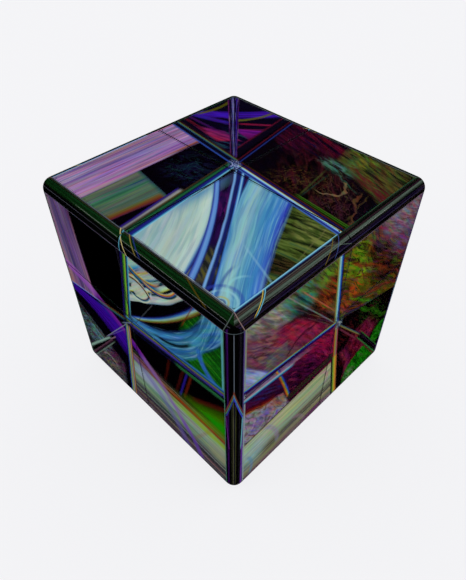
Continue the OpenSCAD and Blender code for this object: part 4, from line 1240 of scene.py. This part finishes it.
EDGE_SIDE = (
    # The pale stripe near -2.12 mm, at the border with the right side, is a painted highlight.
    Ribbon(((-25, 0), (25, 0)),
           ((-2.3, "#34283a", 1), (-2.12, "#6c5c68", 1), (-1.98, "#0c060e", 1), (-1.85, "#020203", 1),
            (-1.2, "#020203", 1), (-0.98, "#2c2448", 1), (-0.8, "#040308", 1), (-0.4, "#180c2c", 1),
            (-0.2, "#040404", 1), (0.15, "#141c18", 1), (0.4, "#48584c", 1), (0.75, "#55645a", 1),
            (0.95, "#1c201c", 1), (1.2, "#280c20", 1), (1.4, "#060406", 1), (1.75, "#08140a", 1),
            (1.95, "#20141c", 1), (2.12, "#204c30", 1), (2.3, "#0a1a10", 1)),
           (Streaks("#030304", 0.12, 14, 0.6, 0.42), Streaks("#3c3028", 0.15, 9, 0.4, 0.3))),
    # Its pale cyan line at the top border, from the near corner to the middle, is a painted highlight; the darker
    # stripes beside it are the glass's own.
    Ribbon(((-25, 0), (-1.5, 0)),
           ((0.9, "#342c28", 0), (1.1, "#4c443c", 0.8), (1.3, "#1c1418", 0.9), (1.5, "#54504c", 0.8),
            (1.65, "#0c0a14", 1), (1.95, "#1c1c40", 1), (2.12, "#4c98bc", 1), (2.22, "#a4d0dc", 1),
            (2.3, "#5c94b4", 1)), ends=0.4),
    line(((-4.2, 2.3), (1.4, -1.2)), "#5c6c60", 0.11, 0.6, ends=0.3),
    line(((-3, -1.6), (0.2, 2.3)), "#3c508c", 0.1, 0.8, ends=0.3),
    line(((-5.4, -1.4), (-1.2, 2.2)), "#6c5c1c", 0.13, 0.8, ends=0.3),
    line(((-17.4, 1.9), (-18.8, 0.6), (-21.2, -1.3)), "#c0a848", 0.12, 0.95, ends=0.5),
    line(((-16.9, 1.9), (-18.4, 0.5), (-20.9, -1.4)), "#68b4cc", 0.12, 0.9, ends=0.5),
    # Painted highlight: a pale line across the edge at the near corner, which carries on the top's border highlight.
    line(((-22.75, 2.5), (-23.2, 0), (-22.75, -2.5)), "#8c7470", 0.1, 0.8, ends=0.3),
)
EDGE_UPRIGHT = (
    # The pale stripes at its two borders, near -2.12 and 2.1 mm, are painted highlights.
    Ribbon(((-25, 0), (25, 0)),
           ((-2.3, "#10241c", 1), (-2.12, "#4c806c", 1), (-1.96, "#040404", 1), (-1.7, "#030204", 1),
            (-1.35, "#340c54", 1), (-1.1, "#060308", 1), (-0.8, "#020202", 1), (0.75, "#020202", 1),
            (1.1, "#08040c", 1), (1.4, "#1c1c20", 1), (1.55, "#030205", 1), (1.9, "#0c0420", 1), (2.1, "#5c4c8c", 1),
            (2.3, "#18102c", 1)), (Streaks("#020203", 0.12, 12, 0.6, 0.4),)),
    Ribbon(((-25, 0), (6.4, 0)),
           ((-0.75, "#020202", 0), (-0.5, "#2c301c", 0.9), (-0.36, "#040404", 0.9), (-0.15, "#54543c", 1),
            (0, "#100c0c", 1), (0.22, "#14142c", 1), (0.4, "#3c4018", 1), (0.6, "#060604", 0.9), (0.8, "#020202", 0)),
           (Streaks("#020203", 0.12, 10, 0.6, 0.4),), ends=0.8),
    # Painted highlights: a pale line down the middle of the near upright edge, and one across it at the top corner.
    line(((7.6, 0.05), (22.6, 0)), "#5c6470", 0.13, 0.9, ends=0.4),
    line(((22.8, -2.4), (22.8, 2.4)), "#485458", 0.1, 0.8, ends=0.3),
    line(((2.6, -2.1), (9, 0.1)), "#6c3424", 0.17, 0.95, ends=0.3),
    line(((2.2, -1.9), (8.2, 0.1)), "#48784c", 0.13, 0.95, ends=0.3),
    line(((1.7, -1.8), (7.4, 0.1)), "#28388c", 0.15, 0.9, ends=0.3),
    line(((9, -0.1), (2.2, 2.2)), "#6c3424", 0.17, 0.95, ends=0.3),
    line(((8.2, -0.1), (1.6, 2.1)), "#4c8494", 0.14, 0.95, ends=0.3),
    line(((7.4, -0.1), (1, 2)), "#343cc0", 0.16, 0.9, ends=0.3),
    line(((1.4, -1.9), (-9, -1.2)), "#541c64", 0.2, 0.8, ends=0.6),
    line(((1, 2), (-9, 1.7)), "#6cb0b8", 0.2, 0.8, ends=0.8),
    line(((-8, 1.9), (-24, 1.75)), "#6c38a0", 0.25, 0.7, ends=1),
)


@dataclass(frozen=True)
class DarkDichroicGlass:
    """Polished float glass over a dichroic film: bands and marbling of light on black, in a clear flat gloss.

    Attributes:
        side: The side of the cube that it is for.
        layers: What shows in it, from the bottom up.
        hue: Turns its colours. PLAIN_HUE leaves them.
        roughness: How soft its gloss is.
        ior: Its index of refraction.
        film_nm: The film's thickness, in nanometres.
    """

    side: Side
    layers: tuple[Layer, ...]
    hue: float = PLAIN_HUE
    roughness: float = 0.04
    ior: float = 1.52
    film_nm: float = 420.0

    def build(self, middle: Vector) -> bpy.types.Material:
        """Makes the material.

        Args:
            middle: The cube's middle.

        Returns:
            The material.
        """
        material, tree, shader = new_material(f"dark_dichroic_glass_{self.side.name.lower()}")
        flat = self.side.flat
        inputs = {
            "Vector": add_node(tree, "ShaderNodeTexCoord").outputs["Object"],
            "Location": -(flat @ middle) / MM,
            "Rotation": flat.to_euler(),
            "Scale": (1 / MM,) * 3,
        }
        place = add_node(tree, "ShaderNodeMapping", inputs).outputs[0]
        black = add_node(tree, "ShaderNodeRGB").outputs[0]
        black.default_value = to_linear(BLACK_GLASS)
        colour = paint(tree, place, black, self.layers)
        if self.hue != PLAIN_HUE:
            colour = add_node(tree, "ShaderNodeHueSaturation", {"Hue": self.hue, "Color": colour}).outputs[0]
        tree.links.new(colour, shader.inputs["Base Color"])
        shader.inputs["Roughness"].default_value = self.roughness
        shader.inputs["IOR"].default_value = self.ior
        shader.inputs["Thin Film Thickness"].default_value = self.film_nm
        return material


@dataclass(frozen=True)
class PolishedEdgeGlass:
    """Polished acrylic casing: near black, with thin stripes along each rounded edge, as a rod of glass shows; the
    pale stripes among them are painted highlights.

    Attributes:
        half: Half the cube's edge.
        edge_round: The radius of its rounded edges.
        roughness: How soft its gloss is.
        ior: Its index of refraction.
    """

    half: float
    edge_round: float
    roughness: float = 0.06
    ior: float = 1.49

    def build(self, middle: Vector) -> bpy.types.Material:
        """Makes the material.

        Args:
            middle: The cube's middle.

        Returns:
            The material.
        """
        material, tree, shader = new_material("polished_edge_glass")
        place = add_node(tree, "ShaderNodeTexCoord").outputs["Object"]
        inputs = {"Vector": place, "Location": -middle / MM, "Scale": (1 / MM,) * 3}
        mapped = add_node(tree, "ShaderNodeMapping", inputs).outputs[0]
        folded = add_node(tree, "ShaderNodeVectorMath", {0: mapped}, operation="ABSOLUTE").outputs[0]
        inputs = {0: folded, 1: ((self.half - self.edge_round) / MM,) * 3}
        outward = add_node(tree, "ShaderNodeVectorMath", inputs, operation="SUBTRACT").outputs[0]
        across = add_node(tree, "ShaderNodeSeparateXYZ", {0: outward}).outputs
        signed = add_node(tree, "ShaderNodeSeparateXYZ", {0: mapped}).outputs
        colour = add_node(tree, "ShaderNodeRGB").outputs[0]
        colour.default_value = to_linear(BLACK_GLASS)
        for layers, far, near, run in ((EDGE_UPRIGHT, 0, 1, 2), (EDGE_SIDE, 2, 0, 1), (EDGE_FRONT, 2, 1, 0)):
            inputs = {0: across[far], 1: across[near]}
            turn = add_node(tree, "ShaderNodeMath", inputs, operation="SUBTRACT").outputs[0]
            spot = add_node(tree, "ShaderNodeCombineXYZ", {0: signed[run], 1: turn}).outputs[0]
            painted = paint(tree, spot, colour, layers)
            nearer = add_node(tree, "ShaderNodeMath", inputs, operation="MINIMUM").outputs[0]
            inputs = {0: across[run], 1: nearer}
            chosen = add_node(tree, "ShaderNodeMath", inputs, operation="LESS_THAN").outputs[0]
            colour = cover(tree, colour, painted, chosen)
        tree.links.new(colour, shader.inputs["Base Color"])
        shader.inputs["Roughness"].default_value = self.roughness
        shader.inputs["IOR"].default_value = self.ior
        return material


@dataclass(frozen=True)
class MouldedPlastic:
    """ABS or acetal from a steel mould: an even colour with the faint grain of the mould, and a soft gloss.

    Attributes:
        name: The material's name.
        code: Its colour.
        roughness: How soft its gloss is.
        spread: How far the grain changes that either way.
        grain_mm: The grain's width.
        depth_mm: The grain's depth.
        tint: How far the grain shows in the colour.
        ior: Its index of refraction.
    """

    name: str
    code: str
    roughness: float = 0.42
    spread: float = 0.06
    grain_mm: float = 0.35
    depth_mm: float = 0.01
    tint: float = 0.12
    ior: float = 1.5

    def build(self) -> bpy.types.Material:
        """Makes the material and returns it."""
        material, tree, shader = new_material(self.name)
        place = add_node(tree, "ShaderNodeTexCoord").outputs["Object"]
        inputs = {"Vector": place, "Scale": 1 / (self.grain_mm * MM), "Detail": 3.0}
        grain = add_node(tree, "ShaderNodeTexNoise", inputs).outputs[0]
        inputs = {"Value": grain, "To Min": self.roughness - self.spread, "To Max": self.roughness + self.spread}
        sheen = add_node(tree, "ShaderNodeMapRange", inputs).outputs[0]
        tree.links.new(sheen, shader.inputs["Roughness"])
        colour = cover(tree, to_linear(self.code), grain, self.tint, Blend.TINT)
        tree.links.new(colour, shader.inputs["Base Color"])
        inputs = {"Height": grain, "Distance": self.depth_mm * MM, "Strength": 0.4}
        bump = add_node(tree, "ShaderNodeBump", inputs).outputs[0]
        tree.links.new(bump, shader.inputs["Normal"])
        shader.inputs["IOR"].default_value = self.ior
        return material


@dataclass(frozen=True)
class DrawnMetal:
    """Steel or brass drawn or stamped to shape: fine lines along it, and a clean metal shine.

    Attributes:
        name: The material's name.
        code: Its colour.
        roughness: How soft its gloss is.
        spread: How far the lines change that, down and up.
        line_mm: The lines' width.
        stretch: How many times longer than wide they are.
        tint: How far they show in the colour.
    """

    name: str
    code: str
    roughness: float = 0.28
    spread: tuple[float, float] = (0.08, 0.1)
    line_mm: float = 0.12
    stretch: float = 12.0
    tint: float = 0.15

    def build(self) -> bpy.types.Material:
        """Makes the material and returns it."""
        material, tree, shader = new_material(self.name)
        place = add_node(tree, "ShaderNodeTexCoord").outputs["Object"]
        fine = 1 / (self.line_mm * MM)
        inputs = {"Vector": place, "Scale": (fine, fine, fine / self.stretch)}
        drawn = add_node(tree, "ShaderNodeMapping", inputs).outputs[0]
        lines = add_node(tree, "ShaderNodeTexNoise", {"Vector": drawn, "Scale": 1.0, "Detail": 2.0}).outputs[0]
        down, up = self.spread
        inputs = {"Value": lines, "To Min": self.roughness - down, "To Max": self.roughness + up}
        sheen = add_node(tree, "ShaderNodeMapRange", inputs).outputs[0]
        tree.links.new(sheen, shader.inputs["Roughness"])
        colour = cover(tree, to_linear(self.code), lines, self.tint, Blend.TINT)
        tree.links.new(colour, shader.inputs["Base Color"])
        shader.inputs["Metallic"].default_value = 1.0
        return material


# ---- The pieces ----


def box_mesh(low: Vector, high: Vector) -> bmesh.types.BMesh:
    """Starts a mesh as a box.

    Args:
        low: Its lowest corner.
        high: Its highest corner.

    Returns:
        The mesh.
    """
    bm = bmesh.new()
    bmesh.ops.create_cube(bm, size=1.0)
    bmesh.ops.scale(bm, vec=high - low, verts=bm.verts)
    bmesh.ops.translate(bm, vec=(low + high) / 2, verts=bm.verts)
    return bm


def finished_object(name: str, bm: bmesh.types.BMesh, materials: list[bpy.types.Material]) -> bpy.types.Object:
    """Turns a bmesh into a smooth-shaded object at the origin.

    Args:
        name: The piece's name.
        bm: Its mesh, in metres and in place. It is freed.
        materials: Its materials.

    Returns:
        The object, linked to the scene.
    """
    bmesh.ops.recalc_face_normals(bm, faces=bm.faces)
    for face in bm.faces:
        face.smooth = True
    mesh = bpy.data.meshes.new(name)
    bm.to_mesh(mesh)
    bm.free()
    for material in materials:
        mesh.materials.append(material)
    piece = bpy.data.objects.new(name, mesh)
    bpy.context.scene.collection.objects.link(piece)
    return piece


def shade_evenly(piece: bpy.types.Object) -> None:
    """Has a piece's flat faces shade flat between their rounded edges."""
    even = piece.modifiers.new("even_shading", "WEIGHTED_NORMAL")
    even.keep_sharp = True


def break_edges(piece: bpy.types.Object, width: float, sharp: float = 50.0) -> None:
    """Breaks a piece's sharp edges with a narrow polished chamfer.

    Args:
        piece: The piece.
        width: The chamfer's width.
        sharp: The least angle between the faces at a sharp edge, in degrees.
    """
    chamfer = piece.modifiers.new("broken_edges", "BEVEL")
    chamfer.width = width
    chamfer.segments = 2
    chamfer.limit_method = "ANGLE"
    chamfer.angle_limit = math.radians(sharp)
    chamfer.harden_normals = False
    shade_evenly(piece)


@dataclass
class Block:
    """One of the eight blocks: its casing and its three tiles.

    Attributes:
        name: The block's name, such as top_front_right.
        body: The CAD body that it rides on.
        edge_round: The radius of the outer edges.
        wall: The casing's wall.
        tile_corner: The corner radius of a tile.
        tile_chamfer: The polished chamfer round a tile.
        casing_chamfer: The chamfer on the casing's own edges.
        first_inset: How far a pocket's outline is drawn in, before it is set to its tile's.
        round_steps: Segments in a rounded edge.
        corner_steps: Segments in a tile's corner.
        sides: The three sides of the cube that it is on.
    """

    name: str
    body: str
    edge_round: float = 2.2 * MM
    wall: float = 2.0 * MM
    tile_corner: float = 0.6 * MM
    tile_chamfer: float = 0.1 * MM
    casing_chamfer: float = 0.06 * MM
    first_inset: float = 0.05 * MM
    round_steps: int = 14
    corner_steps: int = 6
    sides: tuple[Side, ...] = field(init=False)

    def __post_init__(self) -> None:
        """Works out which three sides of the cube the block is on."""
        height, depth, width = self.name.split("_")
        self.sides = tuple(Side[word.upper()] for word in (height, depth, width))

    @property
    def outward(self) -> Vector:
        """Plus or minus one along each axis, towards the block's outer corner."""
        return sum((side.out for side in self.sides), Vector((0, 0, 0)))

    def build_casing(self, finish: bpy.types.Material, panes: list[bpy.types.Material]) -> bpy.types.Object:
        """Makes the casing: three walls with rounded edges, and a pocket in each for its tile.

        Args:
            finish: The casing's material.
            panes: The glass of the block's three sides, which the clear rims round the tiles carry on.

        Returns:
            The casing.
        """
        node = f"{self.name}_casing"
        bm = box_mesh(*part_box(node))
        cut_faces = [f for f in bm.faces if f.normal.dot(self.outward) < 0]
        outer_edges = [e for e in bm.edges if not any(f in cut_faces for f in e.link_faces)]
        bmesh.ops.delete(bm, geom=cut_faces, context="FACES_ONLY")
        bmesh.ops.bevel(
            bm, geom=outer_edges, offset=self.edge_round, offset_type="OFFSET", affect="EDGES",
            segments=self.round_steps, profile=0.5, material=-1, clamp_overlap=False,
        )
        bm.normal_update()
        bmesh.ops.solidify(bm, geom=bm.faces[:], thickness=self.wall)
        bm.normal_update()
        for number, side in enumerate(self.sides, start=1):
            self.sink_pocket(bm, side, number)
        piece = finished_object(f"{node}_shell", bm, [finish, *panes])
        break_edges(piece, self.casing_chamfer)
        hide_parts(node)
        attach(piece, self.body)
        return piece

    def sink_pocket(self, bm: bmesh.types.BMesh, side: Side, slot: int) -> None:
        """Sinks a pocket for a tile into one wall.

        Args:
            bm: The casing's mesh.
            side: The side of the cube that the wall is on.
            slot: The material slot of the side's glass.
        """
        low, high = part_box(f"{self.name}_tile_{side.name.lower()}")
        facing = [f for f in bm.faces if f.normal.dot(side.out) > ALIGNED]
        wall = max(facing, key=lambda f: f.calc_center_median().dot(side.out))
        rims = bmesh.ops.inset_individual(bm, faces=[wall], thickness=self.first_inset, depth=0.0)["faces"]
        for rim in rims:
            rim.material_index = slot
        span = [a for a in range(3) if abs(side.out[a]) < 0.5]
        for vert in wall.verts:
            for a in span:
                middle = (low[a] + high[a]) / 2
                vert.co[a] = low[a] if vert.co[a] < middle else high[a]
        bmesh.ops.inset_individual(bm, faces=[wall], thickness=0.0, depth=-min(high - low))

    def build_tile(self, side: Side, finish: bpy.types.Material) -> bpy.types.Object:
        """Makes a tile: a thin plate with round corners and a polished chamfer.

        Args:
            side: The side of the cube that it shows on.
            finish: The tile's material.

        Returns:
            The tile.
        """
        node = f"{self.name}_tile_{side.name.lower()}"
        bm = box_mesh(*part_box(node))
        runs = {e: (e.verts[0].co - e.verts[1].co).normalized() for e in bm.edges}
        upright = [e for e, run in runs.items() if abs(run.dot(side.out)) > ALIGNED]
        bmesh.ops.bevel(
            bm, geom=upright, offset=self.tile_corner, offset_type="OFFSET", affect="EDGES",
            segments=self.corner_steps, profile=0.5, material=-1,
        )
        bm.normal_update()
        front = next(f for f in bm.faces if f.normal.dot(side.out) > ALIGNED)
        bmesh.ops.bevel(
            bm, geom=list(front.edges), offset=self.tile_chamfer, offset_type="OFFSET", affect="EDGES", segments=2,
            profile=0.5, material=-1,
        )
        piece = finished_object(f"{node}_glass", bm, [finish])
        shade_evenly(piece)
        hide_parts(node)
        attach(piece, self.body)
        return piece


@dataclass
class TensionSprings:
    """The six coil springs on the tension screws.

    Attributes:
        wire: The wire's diameter.
        turns: The turns in a spring.
        outer: A spring's outer radius.
        seat: The distance of its inner end from the core's centre.
        top: The distance of its outer end.
        steps: Segments in a turn.
        wire_sides: Sides of the wire's section.
    """

    wire: float = 0.4 * MM
    turns: float = 3.5
    outer: float = 2.2 * MM
    seat: float = 10.7 * MM
    top: float = 13.0 * MM
    steps: int = 28
    wire_sides: int = 10

    def build(self, centre: Vector, finish: bpy.types.Material) -> bpy.types.Object:
        """Makes all six springs as one piece.

        Args:
            centre: The core's centre.
            finish: The wire's material.

        Returns:
            The springs.
        """
        bm = bmesh.new()
        for side in Side:
            turn = Vector((0, 0, 1)).rotation_difference(side.out).to_matrix().to_4x4()
            self.add_coil(bm, turn, centre)
        piece = finished_object("tension_springs_wire", bm, [finish])
        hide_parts("tension_springs")
        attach(piece, "core")
        return piece

    def add_coil(self, bm: bmesh.types.BMesh, turn: Matrix, centre: Vector) -> None:
        """Winds one coil along +Z and turns it to its own axis.

        Args:
            bm: The mesh that it joins.
            turn: The rotation from +Z to its axis.
            centre: The core's centre.
        """
        start = Vector((self.outer - self.wire / 2, 0, self.seat + self.wire / 2))
        upright = Matrix.Translation(start) @ Matrix.Rotation(math.radians(90), 4, "X")
        before = set(bm.verts)
        ring = bmesh.ops.create_circle(
            bm, cap_ends=False, radius=self.wire / 2, segments=self.wire_sides, matrix=upright
        )["verts"]
        rise = self.top - self.seat - self.wire
        count = round(self.steps * self.turns)
        edges = list({e for v in ring for e in v.link_edges})
        bmesh.ops.spin(
            bm, geom=ring + edges, cent=(0, 0, 0), axis=(0, 0, 1), dvec=(0, 0, rise / count),
            angle=2 * math.pi * self.turns, steps=count, use_merge=False,
        )
        made = [v for v in bm.verts if v not in before]
        rims = {e for v in made for e in v.link_edges if e.is_boundary}
        bmesh.ops.holes_fill(bm, edges=list(rims), sides=0)
        bmesh.ops.transform(bm, matrix=Matrix.Translation(centre) @ turn, verts=made)


@dataclass
class Studio:
    """A pale floor, an even pale sky, two soft strip lights and the camera.

    Attributes:
        backdrop: The floor's and the sky's colour.
        sky_strength: The sky's strength.
        floor_code: The colour of the floor's own surface, which takes the shadow.
        floor_glow: The strength of the floor's own even light.
        floor_size: The width of the floor.
        floor_drop: How far the floor lies below the cube, so that their surfaces don't share a plane.
        lens: The camera's focal length on the default sensor, in millimetres.
        distance: The camera's distance from the cube's middle, in cube edges.
        elevation: How high the camera stands, in degrees above the cube's middle.
        pitch: How far the camera looks down, in degrees.
        shift: The camera's shift.
        near_clip: The least distance that the camera sees.
        strips: The strip lights' names, and the way from the cube's middle to each.
        strip_size: Their length and width.
        strip_power: Their power, in watts.
        strip_distance: Their distance from the cube's middle.
    """

    backdrop: str = "#f5f5f7"
    sky_strength: float = 1.1
    floor_code: str = "#5a5a5c"
    floor_glow: float = 0.88
    floor_size: float = 6.0
    floor_drop: float = 0.05 * MM
    lens: float = 32.13
    distance: float = 2.1963
    elevation: float = 43.954
    pitch: float = 44.92
    shift: tuple[float, float] = (-0.0017, -0.0047)
    near_clip: float = 0.005
    strips: tuple[tuple[str, tuple[float, float, float]], ...] = (
        ("left_strip", (-0.5, -0.707, 0.5)), ("right_strip", (0.707, 0.5, 0.5)),
    )
    strip_size: tuple[float, float] = (0.4, 0.012)
    strip_power: float = 0.075
    strip_distance: float = 0.6

    def build(self, middle: Vector, edge: float) -> None:
        """Makes everything.

        Args:
            middle: The cube's middle.
            edge: The length of the cube's edges.
        """
        self.build_world()
        self.build_floor()
        self.build_lights(middle)
        self.build_camera(middle, edge)
        bpy.context.scene.view_settings.view_transform = "Standard"

    def build_world(self) -> None:
        """Makes a sky that lights the cube evenly, and leaves it out of the polished faces."""
        world = bpy.data.worlds.new("pale_sky")
        world.use_nodes = True
        sky = world.node_tree.nodes["Background"]
        sky.inputs["Color"].default_value = to_linear(self.backdrop)
        sky.inputs["Strength"].default_value = self.sky_strength
        world.cycles_visibility.glossy = False
        bpy.context.scene.world = world

    def build_floor(self) -> None:
        """Makes the floor: mostly its own even glow, so that the cube's shadow on it is faint."""
        bm = bmesh.new()
        below = Matrix.Translation((0, 0, -self.floor_drop))
        bmesh.ops.create_grid(bm, x_segments=1, y_segments=1, size=self.floor_size / 2, matrix=below)
        material, tree, shader = new_material("pale_floor")
        shader.inputs["Base Color"].default_value = to_linear(self.floor_code)
        shader.inputs["Roughness"].default_value = 1.0
        shader.inputs["Specular IOR Level"].default_value = 0.0
        shader.inputs["Emission Color"].default_value = to_linear(self.backdrop)
        shader.inputs["Emission Strength"].default_value = self.floor_glow
        # It shows from above only, so that the cube's underside can be seen from below.
        behind = add_node(tree, "ShaderNodeNewGeometry").outputs["Backfacing"]
        clear = add_node(tree, "ShaderNodeBsdfTransparent").outputs[0]
        one_sided = add_node(tree, "ShaderNodeMixShader", {0: behind, 1: shader.outputs[0], 2: clear}).outputs[0]
        tree.links.new(one_sided, tree.nodes["Material Output"].inputs["Surface"])
        floor = finished_object("floor", bm, [material])
        floor.visible_glossy = False
        floor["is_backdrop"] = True

    def build_lights(self, middle: Vector) -> None:
        """Makes two strip lights, one on each side, that draw a thin line along the top edges.

        Args:
            middle: The cube's middle.
        """
        for name, bearing in self.strips:
            towards = Vector(bearing).normalized()
            light = bpy.data.lights.new(name, "AREA")
            light.shape = "RECTANGLE"
            light.size, light.size_y = self.strip_size
            light.energy = self.strip_power
            lamp = bpy.data.objects.new(name, light)
            lamp.rotation_mode = "QUATERNION"
            lamp.location = middle + towards * self.strip_distance
            lamp.rotation_quaternion = towards.to_track_quat("Z", "Y")
            bpy.context.scene.collection.objects.link(lamp)

    def build_camera(self, middle: Vector, edge: float) -> None:
        """Makes the camera, beyond the cube's near upright edge.

        Args:
            middle: The cube's middle.
            edge: The length of the cube's edges.
        """
        up, down = math.radians(self.elevation), math.radians(self.pitch)
        level = Vector((math.sqrt(0.5), -math.sqrt(0.5), 0))
        data = bpy.data.cameras.new("camera")
        data.lens = self.lens
        data.shift_x, data.shift_y = self.shift
        data.clip_start = self.near_clip
        camera = bpy.data.objects.new("camera", data)
        camera.rotation_mode = "QUATERNION"
        camera.location = middle + (level * math.cos(up) + Vector((0, 0, math.sin(up)))) * self.distance * edge
        look = -level * math.cos(down) - Vector((0, 0, math.sin(down)))
        camera.rotation_quaternion = look.to_track_quat("-Z", "Y")
        bpy.context.scene.collection.objects.link(camera)
        bpy.context.scene.camera = camera


@dataclass
class MirrorBlockCube:
    """The whole cube: eight blocks round a hidden core.

    Attributes:
        middle: The cube's middle.
        edge: The length of its edges.
        core_centre: The centre of the core, where the cuts cross.
    """

    middle: Vector
    edge: float
    core_centre: Vector

    def build(self, nodes: dict[str, bpy.types.Object]) -> None:
        """Makes the visible pieces, and dresses the CAD nodes that stay.

        Args:
            nodes: The CAD nodes by name.
        """
        top = (TOP_NEAR, TOP_LEFT, TOP_BACK_LEFT, TOP_BACK_RIGHT) + TOP_SEAMS
        front = (FRONT_NEAR, FRONT_UPPER_LEFT, FRONT_LOWER_LEFT, FRONT_LOWER_RIGHT) + FRONT_SEAMS
        right = (RIGHT_NEAR, RIGHT_UPPER_RIGHT, RIGHT_LOWER_LEFT, RIGHT_LOWER_RIGHT) + RIGHT_SEAMS
        glass = {
            Side.TOP: DarkDichroicGlass(Side.TOP, top),
            Side.FRONT: DarkDichroicGlass(Side.FRONT, front),
            Side.RIGHT: DarkDichroicGlass(Side.RIGHT, right),
            Side.LEFT: DarkDichroicGlass(Side.LEFT, front, hue=0.62),
            Side.BACK: DarkDichroicGlass(Side.BACK, right, hue=0.36),
            Side.BOTTOM: DarkDichroicGlass(Side.BOTTOM, top, hue=0.43),
        }
        panes = {side: finish.build(self.middle) for side, finish in glass.items()}
        edge_glass = PolishedEdgeGlass(self.edge / 2, Block.edge_round).build(self.middle)
        for name in sorted(n.removesuffix("_casing") for n in nodes if n.endswith("_casing")):
            block = Block(name, "upper_layer" if name.startswith("top") else "lower_layer")
            LOG.info("made %s", block.build_casing(edge_glass, [panes[side] for side in block.sides]).name)
            for side in block.sides:
                LOG.info("made %s", block.build_tile(side, panes[side]).name)
        self.dress_inside(nodes)

    def dress_inside(self, nodes: dict[str, bpy.types.Object]) -> None:
        """Gives the hidden pieces their finishes, and makes the springs.

        Args:
            nodes: The CAD nodes by name.
        """
        steel = DrawnMetal("drawn_spring_steel", "#a4a8ac").build()
        finishes = {
            "_base": MouldedPlastic("moulded_abs_base", "#17171b", 0.36).build(),
            "_centre": MouldedPlastic("moulded_acetal_centre", "#26262a").build(),
            "_inner_edges": MouldedPlastic("moulded_acetal_edge", "#2c2c31").build(),
            "_washer": DrawnMetal("stamped_brass_washer", "#c8a860").build(),
            "core_ball": MouldedPlastic("moulded_acetal_core", "#dcdad0").build(),
            "tension_screws": DrawnMetal("zinc_plated_screw", "#b4b8bc", 0.24).build(),
        }
        for name, node in nodes.items():
            for ending, finish in finishes.items():
                if name.endswith(ending):
                    node.data.materials.clear()
                    node.data.materials.append(finish)
                    LOG.info("dressed %s", name)
        LOG.info("made %s", TensionSprings().build(self.core_centre, steel).name)


def main() -> None:
    """Loads the frame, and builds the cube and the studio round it."""
    logging.basicConfig(level=logging.INFO, format="%(message)s")
    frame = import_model()
    cad_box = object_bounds()
    low, high = cad_box
    core_low, core_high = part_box("core_ball")
    cube = MirrorBlockCube((low + high) / 2, high.x - low.x, (core_low + core_high) / 2)
    cube.build(frame["nodes"])
    Studio().build(cube.middle, cube.edge)


if __name__ == "__main__":
    main()
